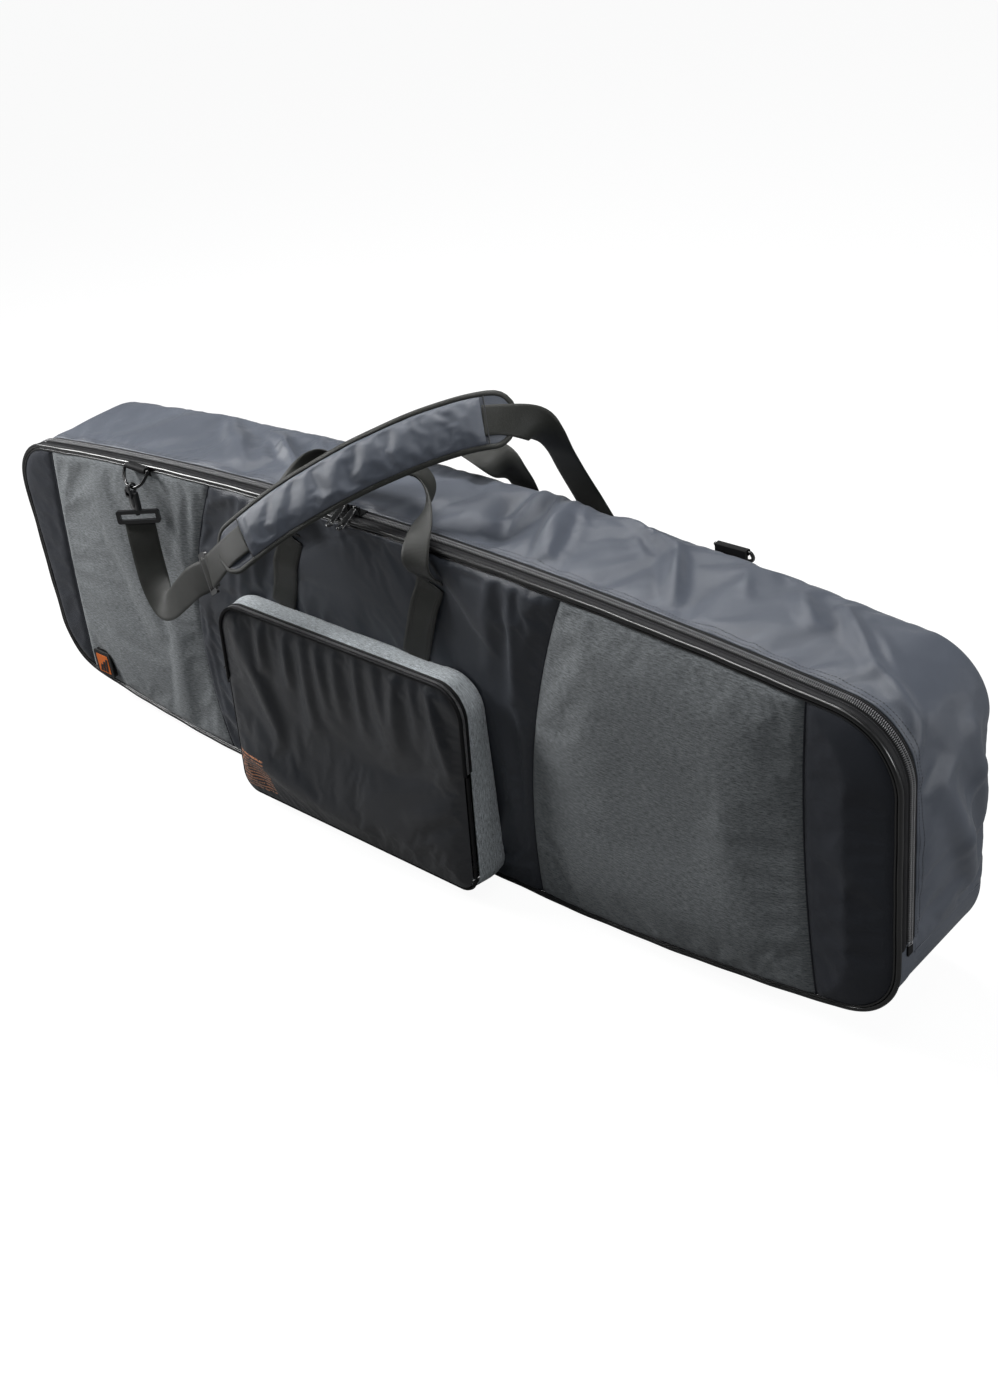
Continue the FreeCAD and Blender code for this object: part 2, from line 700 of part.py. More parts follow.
def build_pocket():
    """Wedge-shaped pocket: walls, fixed lower face, opening flap and its zip."""
    wall = size("pocket_wall")
    face = size("pocket_face")
    gap = size("zip_split")
    ridge = size("pocket_chain")
    clear = size("slider_clear")
    deep = 2 * size("pocket_bottom_depth")
    ridge_width = size("pocket_ridge_width")
    ring = prism("pocket_ring", [pocket_path(0.0), pocket_path(-wall)], FRONT, deep)
    keep("pocket_wall", common("pocket_wall", ring, tilted_slab("wall_slab", -deep, deep)))
    full = prism("pocket_full", [pocket_path(0.0)], FRONT, deep)
    whole_face = common("pocket_face_whole", full, tilted_slab("face_slab", gap, face))
    lower_box = slice_box("lower_box", 0.0, size("flap_line") - size("flap_gap"))
    rim_slab = common("pocket_rim_slab", ring, tilted_slab("rim_slab", 0.0, gap))
    sewn_face = fuse("pocket_sewn_face", [whole_face, rim_slab])
    keep("pocket_lower_face", common("pocket_lower_face", sewn_face, lower_box))
    flap_base = common("flap_base", full, tilted_slab("flap_slab", gap, face))
    keep("pocket_flap", above_flap_line("pocket_flap", flap_base, 0.0))
    outer = prism("pocket_ridge_outer", [pocket_path(ridge), pocket_path(0.0)], FRONT, deep)
    fixed = common("pocket_ridge_fixed", outer, tilted_slab("fixed_slab", -ridge_width, ridge_width))
    keep("pocket_zip_lid", above_flap_line("pocket_zip_lid", fixed, clear))
    moving = common("pocket_ridge_moving", outer, tilted_slab("moving_slab", gap, face))
    keep("pocket_zip_flap", above_flap_line("pocket_zip_flap", moving, clear))
    build_pocket_slider()


def pocket_face_y(z):
    """Back plane of the pocket face at a height."""
    share = (size("pocket_top") - z) / (size("pocket_top") - size("pocket_bottom"))
    grow = size("pocket_bottom_depth") - size("pocket_top_depth")
    return FRONT - size("pocket_top_depth") - share * grow


def pocket_frame(z):
    """Frame on the pocket's left zip at height z, tilted with the face."""
    place = Vector(size("pocket_left"), pocket_face_y(z), z)
    return Placement(place, Rotation(Vector(1, 0, 0), -pocket_slope()))


def build_pocket_slider():
    """Small slider low on the left side of the pocket, with its pull."""
    clear = size("slider_clear")
    ridge = size("pocket_chain")
    half = size("pocket_slider_length") / 2
    plate = size("slider_plate")
    split = size("zip_split")
    wall = size("pocket_wall")
    outside = -ridge - clear
    reach = size("pocket_ridge_width") + clear
    front = -split - size("pocket_face") + clear
    half_post = size("slider_post") / 2
    post_half_length = size("slider_post_length") / 2
    pieces = [
        block("pocket_cap", (outside - plate, front, -half), (outside, reach + plate, half)),
        block("pocket_guide", (outside, reach, -half), (-ridge / 2, reach + plate, half)),
        block("pocket_post", (outside, -split / 2 - half_post, -post_half_length),
              (wall + clear, -split / 2 + half_post, post_half_length)),
        block("pocket_foot", (wall + clear, -split / 2 - half_post, -half),
              (wall + clear + plate, reach, half)),
    ]
    bar_x = outside - plate - size("pocket_bar_off")
    ear = size("bridge_radius") + size("ear_wall")
    bar_z = -half + ear
    for index, y in enumerate((front + ear, reach + plate - ear)):
        low = (bar_x - ear, y - ear, bar_z - ear)
        high = (outside - plate, y + ear, bar_z + ear)
        pieces.append(block("pocket_ear_%d" % index, low, high))
    start = Vector(bar_x, front + ear, bar_z)
    end = Vector(bar_x, reach + plate - ear, bar_z)
    pieces.append(rod("pocket_bar", size("bridge_radius"), start, end))
    frame = pocket_frame(size("pocket_slider_rest"))
    slider = keep("pocket_slider", fuse("pocket_slider", pieces))
    slider.Placement = frame
    barrel = reach + plate - front - 4 * ear - 2 * size("seat_gap")
    pull = keep("pocket_pull", pull_tab("pocket_pull", size("pocket_pull_length"),
                                        size("pocket_pull_width"), barrel))
    middle = Vector(bar_x, (start.y + end.y) / 2, bar_z)
    turn = Rotation(Vector(0, 0, 1), 90)
    pull.Placement = frame.multiply(Placement(middle, turn))


# ----------------------------------------------------------------------- handles
def handle_stations(centre, half_span, seam_y, seam_z, rise, outward, lean, bow):
    """Webbing loop: up from one seam, over and down to the other.

    outward is -1 at the front of the bag and 1 at the back, bow how far a leg
    stands off its panel and lean how far the top lies back over the bag.
    """
    # each row: share of the half span, share of the bow, share of the lean, share of the rise
    half = [
        (1.00, 0.00, 0.00, 0.02),
        (1.00, 0.06, 0.00, 0.06),
        (0.99, 0.62, 0.00, 0.15),
        (0.97, 0.95, 0.02, 0.30),
        (0.94, 1.00, 0.14, 0.48),
        (0.88, 1.00, 0.38, 0.66),
        (0.76, 1.00, 0.68, 0.82),
        (0.56, 1.00, 0.91, 0.93),
        (0.29, 1.00, 0.98, 0.99),
        (0.00, 1.00, 1.00, 1.00),
    ]
    widths = [
        Vector(1, 0, 0), Vector(1, 0, 0), Vector(1, 0, 0), Vector(1, 0, 0),
        Vector(1, 0, -0.15), Vector(1, -0.1 * outward, -0.45), Vector(0.8, -0.8 * outward, -0.6),
        Vector(0.3, -1.0 * outward, -0.3), Vector(0.1, -1.0 * outward, 0), Vector(0, -outward, 0),
    ]
    left, right = [], []
    for (span, stand, back, up), across in zip(half, widths):
        y = seam_y + outward * (stand * bow - back * lean)
        z = seam_z + up * rise
        left.append((Vector(centre - span * half_span, y, z), across))
        mirror = Vector(across.x, -across.y, -across.z)
        right.append((Vector(centre + span * half_span, y, z), mirror))
    return left + [(place, across * -1) for place, across in reversed(right[:-1])]


def build_handles():
    """Two carrying handles with the webbing sewn down under their legs."""
    width, thick = size("web_width"), size("web_thick")
    centre = size("handle_centre")
    seam_z = size("handle_seam_height")
    front_y = FRONT - thick / 2
    rear_y = BACK + thick / 2
    step = size("seat_gap")
    front = handle_stations(centre, size("handle_half_span"), front_y - step, seam_z,
                            size("handle_rise"), -1, size("handle_lean"), size("handle_bow"))
    rear = handle_stations(centre, size("rear_half_span"), rear_y + step, seam_z,
                           size("rear_handle_rise"), 1, size("rear_lean"), size("rear_bow"))
    ribbon("front_handle", front, [width] * len(front), thick)
    ribbon("rear_handle", rear, [width] * len(rear), thick)
    lean = size("anchor_lean")
    half = width / 2
    top = seam_z - step
    low = size("pocket_top") + step
    for side, sign in (("left", -1), ("right", 1)):
        x = centre + sign * size("handle_half_span")
        path = [
            [(x + half, top), (x - half, top)],
            [(x - half, top), (x - half - lean, low)],
            [(x - half - lean, low), (x + half - lean, low)],
            [(x + half - lean, low), (x + half, top)],
        ]
        padded_body("front_anchor_" + side, [path], "Sizes.web_thick", "-Sizes.bag_depth / 2")
        x = centre + sign * size("rear_half_span")
        bottom = top - size("rear_anchor_length")
        strip = block("rear_anchor_" + side, (x - half, BACK, bottom), (x + half, BACK + thick, top))
        keep("rear_anchor_" + side, strip)


# ------------------------------------------------------------- D-rings and hooks
def side_extrusion(name, points, half_width):
    """Polygon in Y and Z, run along X to both sides."""
    sketch = doc.addObject("Sketcher::SketchObject", name + "_sketch")
    sketch.Placement = Placement(Vector(-half_width, 0, 0), Rotation(0.5, 0.5, 0.5, 0.5))
    closed = list(zip(points, points[1:] + points[:1]))
    sketch.addGeometry([Part.LineSegment(Vector(*a, 0), Vector(*b, 0)) for a, b in closed], False)
    solid = doc.addObject("Part::Extrusion", name)
    solid.Base = sketch
    solid.DirMode = "Custom"
    solid.Dir = Vector(1, 0, 0)
    solid.LengthFwd = 2 * half_width
    solid.Solid = True
    return solid


def cut(label, base, tool):
    result = doc.addObject("Part::Cut", label)
    result.Base = base
    result.Tool = tool
    return result


def swept_rod(name, radius, first, middle, last):
    """Round rod bent along an arc through three points."""
    bend = Part.Arc(first, middle, last)
    path = Part.Wire([bend.toShape()])
    section = Part.Wire([Part.Circle(first, bend.tangent(bend.FirstParameter)[0], radius).toShape()])
    solid = doc.addObject("Part::Feature", name)
    solid.Shape = path.makePipeShell([section], True, False)
    return solid


def hook_levels():
    """Places of the ring and hook pieces: Y away from the panel, Z below the tab's seam."""
    bar_z = -size("ring_tab_drop")
    lean = size("hook_stand_off") - size("ring_stand_off")
    foot_z = bar_z - math.sqrt(size("ring_drop") ** 2 - lean ** 2)
    claw_z = foot_z - (size("claw_inner") - size("ring_rod") - size("seat_gap"))
    body_top = claw_z - size("claw_inner") - size("claw_rod") + 1.0
    body_low = body_top - size("hook_body")
    loop_top = body_low - size("swivel_gap")
    return bar_z, foot_z, claw_z, body_top, body_low, loop_top


def build_ring(side, place):
    """Webbing tab folded round the straight bar of a D-ring that leans outwards."""
    bar_z, foot_z = hook_levels()[:2]
    bar_y = -size("ring_stand_off")
    rod_r = size("ring_rod")
    fold = rod_r + size("seat_gap")
    outer = fold + size("web_thick")
    half_web = size("ring_width") / 2 - 1.0
    strap = side_extrusion(
        side + "_tab_strap",
        [(0.0, 0.0), (0.0, -size("ring_tab_root")), (bar_y, bar_z - 0.6 * outer), (bar_y - outer, bar_z),
         (-2 * size("web_thick"), 0.0)],
        half_web,
    )
    roll = rod(side + "_tab_roll", outer, Vector(-half_web, bar_y, bar_z), Vector(half_web, bar_y, bar_z))
    bore = rod(side + "_tab_bore", fold, Vector(-half_web - 1, bar_y, bar_z),
               Vector(half_web + 1, bar_y, bar_z))
    tab = cut(side + "_ring_tab", fuse(side + "_tab_whole", [strap, roll]), bore)
    keep(side + "_ring_tab", tab).Placement = place
    half = size("ring_width") / 2 + rod_r
    foot_y = -size("hook_stand_off")
    ends = [Vector(-half, bar_y, bar_z), Vector(half, bar_y, bar_z)]
    pieces = [rod(side + "_ring_bar", rod_r, *ends)]
    for index, end in enumerate(ends):
        knob = doc.addObject("Part::Sphere", "%s_ring_knob_%d" % (side, index))
        knob.Radius = rod_r
        knob.Placement.Base = end
        pieces.append(knob)
    pieces.append(swept_rod(side + "_ring_bend", rod_r, ends[0], Vector(0, foot_y, foot_z), ends[1]))
    keep(side + "_ring", fuse(side + "_ring", pieces)).Placement = place


def build_hook(side, place):
    """Snap hook body with its claw, and the gate that closes the claw."""
    claw_z, body_top, body_low, loop_top = hook_levels()[2:]
    y = -size("hook_stand_off")
    ring = size("claw_inner") + size("claw_rod")
    half_width = size("hook_width") / 2
    half_thick = size("hook_thick") / 2

    def around(degrees):
        across, up = on_circle((y, claw_z), ring, degrees)
        return Vector(0, across, up)

    start, end = size("claw_start"), size("claw_end")
    claw = swept_rod(side + "_claw", size("claw_rod"), around(start), around((start + end) / 2), around(end))
    slab = block(side + "_hook_slab", (-half_width, y - half_thick, body_low),
                 (half_width, y + half_thick, body_top))
    rounded = doc.addObject("Part::Fillet", side + "_hook_round")
    rounded.Base = slab
    doc.recompute()
    upright = [
        (index + 1, 3.0, 3.0)
        for index, edge in enumerate(slab.Shape.Edges)
        if edge.BoundBox.ZLength > 1.0
    ]
    rounded.Edges = upright
    gate_y = y - ring
    pivot_z = claw_z - size("gate_pin_drop")
    ear = size("gate_ear")
    ear_in = size("gate_width") / 2 + size("seat_gap")
    ear_low = body_top - size("gate_ear_foot")
    ears = [
        block("%s_gate_ear_%d" % (side, index), (x, gate_y - ear, ear_low),
              (x + ear, gate_y + 1.25 * ear, pivot_z + ear))
        for index, x in enumerate((-ear_in - ear, ear_in))
    ]
    ledge = block(side + "_gate_ledge", (-ear_in - ear, gate_y - ear, ear_low),
                  (ear_in + ear, y, ear_low + size("gate_thick")))
    pin_ends = (Vector(-ear_in - ear / 2, gate_y, pivot_z), Vector(ear_in + ear / 2, gate_y, pivot_z))
    pin = rod(side + "_gate_pin", size("gate_pin"), *pin_ends)
    head_z = loop_top - size("loop_bar") - size("seat_gap")
    stem = rod(side + "_stem", size("swivel_radius"), Vector(0, y, head_z), Vector(0, y, body_low + 1))
    flange = size("swivel_flange")
    head = rod(side + "_stem_head", size("swivel_radius") + flange, Vector(0, y, head_z - flange),
               Vector(0, y, head_z))
    pieces = [claw, rounded, pin, ledge, stem, head] + ears
    keep(side + "_hook", fuse(side + "_hook", pieces)).Placement = place
    half_gate = size("gate_width") / 2
    leaf = block(side + "_gate_leaf",
                 (-half_gate, gate_y - size("gate_thick") / 2, pivot_z - size("gate_thick") / 2),
                 (half_gate, gate_y + size("gate_thick") / 2, claw_z + size("claw_inner") + 0.4))
    bore = rod(side + "_gate_bore", size("gate_pin") + size("pin_clear"),
               pin_ends[0], pin_ends[1])
    keep(side + "_hook_gate", cut(side + "_hook_gate", leaf, bore)).Placement = place


def build_loop(side, place, turn):
    """Flat loop that swivels on the hook and carries the strap."""
    body_low, loop_top = hook_levels()[4:]
    y = -size("hook_stand_off")
    half = size("loop_width") / 2
    bar = size("loop_bar")
    low = loop_top - size("loop_height")
    half_thick = size("loop_thick") / 2
    outer = rounded_box_path(-half, half, low, loop_top, 4.0, 4.0)
    inner = rounded_box_path(-half + bar, half - bar, low + bar, loop_top - bar, 1.5, 1.5)
    frame = prism(side + "_loop_frame", [outer, inner], half_thick, 2 * half_thick)
    bore = rod(side + "_loop_bore", size("swivel_radius") + size("pin_clear"),
               Vector(0, 0, low + bar), Vector(0, 0, loop_top + 1))
    loop = keep(side + "_hook_loop", cut(side + "_hook_loop", frame, bore))
    swivel = Placement(Vector(0, y, 0), Rotation(Vector(0, 0, 1), turn))
    loop.Placement = place.multiply(swivel)


def build_hooks():
    """The front set hangs on the lid, the rear set on the back."""
    seam_z = size("ring_seam_height")
    sets = [
        ("front", Vector(size("front_ring_x"), FRONT, seam_z), 0.0, size("loop_turn")),
        ("rear", Vector(size("rear_ring_x"), BACK, seam_z), 180.0, 0.0),
    ]
    for side, origin, facing, turn in sets:
        place = Placement(origin, Rotation(Vector(0, 0, 1), facing))
        build_ring(side, place)
        build_hook(side, place)
        build_loop(side, place, turn)


# ---------------------------------------------------------------- shoulder strap
# Bag the strap's stations are laid out for: half depth, height, and where the strap leaves the lid.
LAID_HALF_DEPTH = 105.0
LAID_HEIGHT = 520.0
LAID_LOW = 441.0
# each row: X, Y, Z of the middle, then the way the width runs
FRONT_STRAP = [
    (-463, -134, 385, 0.82, 0.57, 0.00),
    (-453, -140, 350, 0.75, 0.60, 0.20),
    (-437, -148, 320, 0.45, 0.62, 0.62),
    (-413, -158, 306, 0.05, 0.52, 0.85),
    (-380, -166, 318, -0.30, 0.38, 0.85),
    (-338, -171, 350, -0.50, 0.25, 0.80),
    (-295, -176, 383, -0.52, 0.20, 0.80),
    (-251, -181, 411, -0.50, 0.20, 0.82),
    (-212, -201, 435, -0.45, 0.25, 0.85),
    (-190, -210, 450, -0.38, 0.33, 0.84),
]
# each row: X, Y, Z of the middle, then the share of the pad's full width
PAD = [
    (-168, -208, 469, 0.49),
    (-156, -202, 480, 0.86),
    (-138, -191, 496, 1.00),
    (-108, -172, 521, 1.00),
    (-76, -151, 545, 1.00),
    (-44, -129, 566, 1.00),
    (-13, -108, 585, 1.00),
    (16, -86, 601, 1.00),
    (45, -64, 615, 1.00),
    (72, -41, 627, 1.00),
    (98, -18, 636, 1.00),
    (124, 4, 643, 1.00),
    (146, 26, 645, 1.00),
    (158, 40, 642, 0.86),
    (167, 51, 638, 0.49),
]
PAD_ACROSS = (-0.25, 0.45, 0.80)
REAR_STRAP = [
    (184, 68, 631, 0.00, 0.10, 0.95),
    (194, 82, 613, 0.45, -0.10, 0.75),
    (199, 97, 583, 0.80, -0.10, 0.35),
    (200, 114, 548, 0.95, 0.05, 0.12),
    (206, 130, 510, 0.97, 0.05, 0.20),
    (228, 138, 465, 0.90, 0.00, 0.35),
    (262, 143, 415, 0.80, 0.00, 0.55),
    (305, 145, 377, 0.60, 0.00, 0.80),
    (350, 145, 357, 0.25, 0.00, 0.95),
    (395, 143, 357, -0.35, 0.00, 0.93),
    (430, 138, 372, -0.80, 0.00, 0.60),
    (452, 132, 396, -0.98, 0.00, 0.20),
]


def station(row):
    """Middle of a strap station, moved with the bag's faces and with its top."""
    outward = max(-1.0, min(1.0, row[1] / LAID_HALF_DEPTH))
    upward = max(0.0, min(1.0, (row[2] - LAID_LOW) / (LAID_HEIGHT - LAID_LOW)))
    return Vector(
        row[0],
        row[1] + outward * (size("bag_depth") / 2 - LAID_HALF_DEPTH),
        row[2] + upward * (size("bag_height") - LAID_HEIGHT),
    )


def build_strap():
    """Webbing from hook to hook over a padded sleeve, with a tri-glide buckle."""
    width, thick = size("web_width"), size("web_thick")
    loop_low = size("ring_seam_height") + hook_levels()[5] - size("loop_height")
    end_z = loop_low - size("seat_gap")
    stand = size("hook_stand_off")
    turn = math.radians(size("loop_turn"))
    across = Vector(math.cos(turn), math.sin(turn), 0)
    drop = Vector(0, 0, -size("strap_drop"))
    start = Vector(size("front_ring_x"), FRONT - stand, end_z)
    front = [(start, across), (start + drop, across)]
    front += [(station(row), Vector(*row[3:])) for row in FRONT_STRAP]
    pad_across = Vector(*PAD_ACROSS)
    pad = [station(row) for row in PAD]
    front_steps = (size("strap_tail"), size("seat_gap"))
    rear_steps = (size("seat_gap"), size("strap_tail") / 2)
    narrow = [size("tail_width"), size("tail_width") + size("strap_tail")]
    along = (pad[1] - pad[0]).normalize()
    front += [(pad[0] - along * step, pad_across) for step in front_steps]
    ribbon("strap_front_web", front, [width] * (len(front) - 2) + narrow[::-1], thick)
    ribbon("shoulder_pad", [(middle, pad_across) for middle in pad],
           [row[3] * size("pad_width") for row in PAD], size("pad_thick"))
    along = (pad[-1] - pad[-2]).normalize()
    rear = [(pad[-1] + along * step, pad_across) for step in rear_steps]
    rear += [(station(row), Vector(*row[3:])) for row in REAR_STRAP]
    finish = Vector(size("rear_ring_x"), BACK + stand, end_z)
    rear += [(finish + drop, Vector(-1, 0, 0)), (finish, Vector(-1, 0, 0))]
    ribbon("strap_rear_web", rear, narrow + [width] * (len(rear) - 2), thick)
    build_glide(front[9], front[8][0], front[10][0])


def build_glide(station, before, after):
    """Tri-glide buckle lying on the strap."""
    centre, across = station
    along = (after - before).normalize()
    side = (across - along * across.dot(along)).normalize()
    normal = side.cross(along).normalize()
    half = size("glide_width") / 2
    bar = size("glide_bar")
    length = size("glide_length") / 2
    thick = size("glide_thick")
    slot = (2 * length - 3 * bar) / 2
    paths = [rounded_box_path(-half, half, -length, length, 5.0, 5.0)]
    for low in (-length + bar, bar / 2):
        paths.append(rounded_box_path(-half + bar, half - bar, low, low + slot, 1.5, 1.5))
    lift = size("web_thick") / 2 + size("seat_gap")
    frame = prism("glide_frame", paths, -lift, thick)
    glide = keep("tri_glide", frame)
    turn = FreeCAD.Matrix(
        side.x, -normal.x, along.x, centre.x,
        side.y, -normal.y, along.y, centre.y,
        side.z, -normal.z, along.z, centre.z,
        0, 0, 0, 1,
    )
    glide.Placement = Placement(turn)


# ------------------------------------------------------------------------ export
def check_and_export():
    doc.recompute()
    for item in doc.Objects:
        for fault in ("Invalid", "Error"):
            if fault in item.State:
                raise RuntimeError("%s is %s" % (item.Name, item.State))
    os.makedirs("parts", exist_ok=True)
    for label, obj in parts.items():
        shape = obj.Shape
        if shape.isNull() or not shape.isValid() or not shape.Solids:
            raise RuntimeError("%s has no valid solid" % label)
        box = shape.BoundBox
        print("%-20s solids %d  vol %10.0f  x %7.1f %7.1f  y %7.1f %7.1f  z %7.1f %7.1f" % (
            label, len(shape.Solids), shape.Volume, box.XMin, box.XMax,
            box.YMin, box.YMax, box.ZMin, box.ZMax))
        shape.exportStep("parts/%s.step" % label)


build_shell()
build_lid()
build_sliders()
build_pocket()
build_handles()
build_hooks()
build_strap()
check_and_export()
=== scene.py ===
"""Board bag: fabric, webbing, zips, light and camera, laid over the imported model.

Metres, X along the bag, the lid faces -Y, Z up.
"""
import bmesh
import bpy
import math
import numpy as np
from mathutils import Matrix, Quaternion, Vector
from mathutils.bvhtree import BVHTree
from mathutils.geometry import delaunay_2d_cdt


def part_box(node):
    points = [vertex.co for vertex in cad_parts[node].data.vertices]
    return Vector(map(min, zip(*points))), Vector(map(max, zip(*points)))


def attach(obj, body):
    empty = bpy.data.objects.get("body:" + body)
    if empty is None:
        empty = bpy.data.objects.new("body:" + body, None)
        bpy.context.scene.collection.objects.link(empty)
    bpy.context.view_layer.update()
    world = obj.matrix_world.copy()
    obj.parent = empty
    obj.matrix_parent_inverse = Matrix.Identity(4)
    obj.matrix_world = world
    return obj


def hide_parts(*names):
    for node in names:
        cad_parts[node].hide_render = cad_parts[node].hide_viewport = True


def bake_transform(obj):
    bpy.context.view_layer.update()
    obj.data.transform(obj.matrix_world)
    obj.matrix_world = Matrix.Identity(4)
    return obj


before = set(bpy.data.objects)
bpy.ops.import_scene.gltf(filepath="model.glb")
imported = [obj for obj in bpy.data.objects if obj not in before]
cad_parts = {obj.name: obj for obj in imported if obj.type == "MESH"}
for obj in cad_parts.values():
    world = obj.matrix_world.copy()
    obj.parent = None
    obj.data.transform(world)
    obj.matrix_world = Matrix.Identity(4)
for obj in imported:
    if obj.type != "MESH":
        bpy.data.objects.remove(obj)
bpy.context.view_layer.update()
chance = np.random.default_rng(11)

# ------------------------------------------------------------------ sizes of the bag
LENGTH, HEIGHT = 1.650, 0.520
FRONT, BACK = -0.105, 0.105
CORNER, TOP_RADIUS, BASE_RADIUS, BASE_FLAT = 0.095, 6.7, 3.1, 0.22
ZIP_END = 0.165
LID_EDGE, SHELL_EDGE = -0.0786, -0.0774
FOLD = -0.0655
PIPING = 0.0035
PANEL_INSET, PANEL_FOOT = 0.0062, 0.0068
WEB = 0.048
HANDLE_X, HANDLE_SPAN, REAR_SPAN = -0.0055, 0.1365, 0.118
ANCHOR_TOP = 0.4657
POCKET = {"left": -0.287, "right": 0.200, "low": 0.022, "high": 0.340}
POCKET_TOP_ROUND, POCKET_FOOT_ROUND = 0.045, 0.028
FLAP_LINE = 0.215
POCKET_RIM_DEPTH, POCKET_SLOPE = 0.040, 0.022 / 0.318
WEB_THICK = 0.002
ROUND = math.pi / 2


# ------------------------------------------------------------------- shader helpers
def node(tree, kind, inputs=None, **props):
    made = tree.nodes.new(kind)
    for key, value in props.items():
        setattr(made, key, value)
    for key, value in (inputs or {}).items():
        socket = made.inputs[key]
        if isinstance(value, bpy.types.NodeSocket):
            tree.links.new(value, socket)
        else:
            socket.default_value = value
    return made


def maths(tree, operation, *values):
    found = node(tree, "ShaderNodeMath", dict(enumerate(values)), operation=operation)
    return found.outputs[0]


def mixed(tree, share, first, second):
    found = node(tree, "ShaderNodeMix", {0: share, 6: first, 7: second}, data_type="RGBA")
    return found.outputs[2]


def ramp(tree, value, low, high):
    found = node(tree, "ShaderNodeMapRange", {"Value": value, "From Min": low, "From Max": high})
    return found.outputs["Result"]


def noise(tree, where, scale, detail=2.0, rough=0.5):
    found = node(tree, "ShaderNodeTexNoise",
                 {"Vector": where, "Scale": scale, "Detail": detail, "Roughness": rough})
    return found.outputs["Fac"]


def stretched(tree, where, scale):
    return node(tree, "ShaderNodeMapping", {"Vector": where, "Scale": scale}).outputs[0]


def colour(red, green, blue):
    return (red, green, blue, 1.0)


def new_material(name):
    """An empty material and its node tree."""
    material = bpy.data.materials.new(name)
    material.use_nodes = True
    material.node_tree.nodes.clear()
    return material, material.node_tree


def finish_material(tree, inputs, height=None, strength=0.3, distance=0.001):
    """Ends a material with its surface, and a bump where a height is given."""
    if height is not None:
        bump = node(tree, "ShaderNodeBump",
                    {"Height": height, "Strength": strength, "Distance": distance})
        inputs = dict(inputs, Normal=bump.outputs[0])
    surface = node(tree, "ShaderNodeBsdfPrincipled", inputs)
    out = node(tree, "ShaderNodeOutputMaterial", {"Surface": surface.outputs[0]})
    out.is_active_output = True


def place(tree, by="UV"):
    return node(tree, "ShaderNodeTexCoord").outputs[by]


def threads(tree, where, pitch):
    """Height of a plain weave whose threads are pitch apart."""
    split = node(tree, "ShaderNodeSeparateXYZ", {0: where})
    turn = 2 * math.pi / pitch
    warp = maths(tree, "SINE", maths(tree, "MULTIPLY", split.outputs[0], turn))
    weft = maths(tree, "SINE", maths(tree, "MULTIPLY", split.outputs[1], turn))
    return maths(tree, "MULTIPLY", warp, weft)


def woven_fabric(name, deep, pale, rough=0.62, sheen=0.25, pitch=0.0011, by="UV", shine=0.35):
    """Plain polyester weave, a little uneven in tone, with faint dust in places."""
    material, tree = new_material(name)
    where = place(tree, by)
    weave = threads(tree, where, pitch)
    patchy = noise(tree, where, 9.0, 4.0)
    grain = noise(tree, where, 900.0, 2.0)
    tone = maths(tree, "ADD", maths(tree, "MULTIPLY", patchy, 0.5),
                 maths(tree, "MULTIPLY", grain, 0.5))
    tint = mixed(tree, ramp(tree, tone, 0.34, 0.66), deep, pale)
    height = maths(tree, "ADD", weave, maths(tree, "MULTIPLY", grain, 1.5))
    roughness = maths(tree, "ADD", rough - 0.05, maths(tree, "MULTIPLY", patchy, 0.1))
    finish_material(tree, {
        "Base Color": tint, "Roughness": roughness, "Sheen Weight": sheen,
        "Sheen Roughness": 0.4, "Specular IOR Level": shine,
    }, height, 0.25, 0.0004)
    return material


def heather_fabric(name, light=1.0):
    """Two-tone melange cloth: short pale and dark streaks that run along the weft; light above 1 scales
    every colour up as painted light.
    """
    material, tree = new_material(name)
    where = place(tree)
    streak = noise(tree, stretched(tree, where, (110.0, 560.0, 1.0)), 1.0, 3.0, 0.65)
    fleck = noise(tree, stretched(tree, where, (420.0, 900.0, 1.0)), 1.0, 2.0, 0.6)
    patchy = noise(tree, where, 7.0, 3.0)
    tone = maths(tree, "ADD", maths(tree, "MULTIPLY", streak, 0.7),
                 maths(tree, "MULTIPLY", fleck, 0.3))
    tint = mixed(tree, ramp(tree, tone, 0.33, 0.67),
                 colour(0.060 * light, 0.067 * light, 0.072 * light),
                 colour(0.40 * light, 0.425 * light, 0.44 * light))
    tint = mixed(tree, ramp(tree, patchy, 0.2, 1.6), tint,
                 colour(0.14 * light, 0.152 * light, 0.160 * light))
    weave = threads(tree, where, 0.0013)
    height = maths(tree, "ADD", weave, maths(tree, "MULTIPLY", fleck, 2.0))
    finish_material(tree, {
        "Base Color": tint, "Roughness": 0.86, "Sheen Weight": 0.12,
        "Sheen Roughness": 0.5, "Specular IOR Level": 0.3,
    }, height, 0.3, 0.0005)
    return material


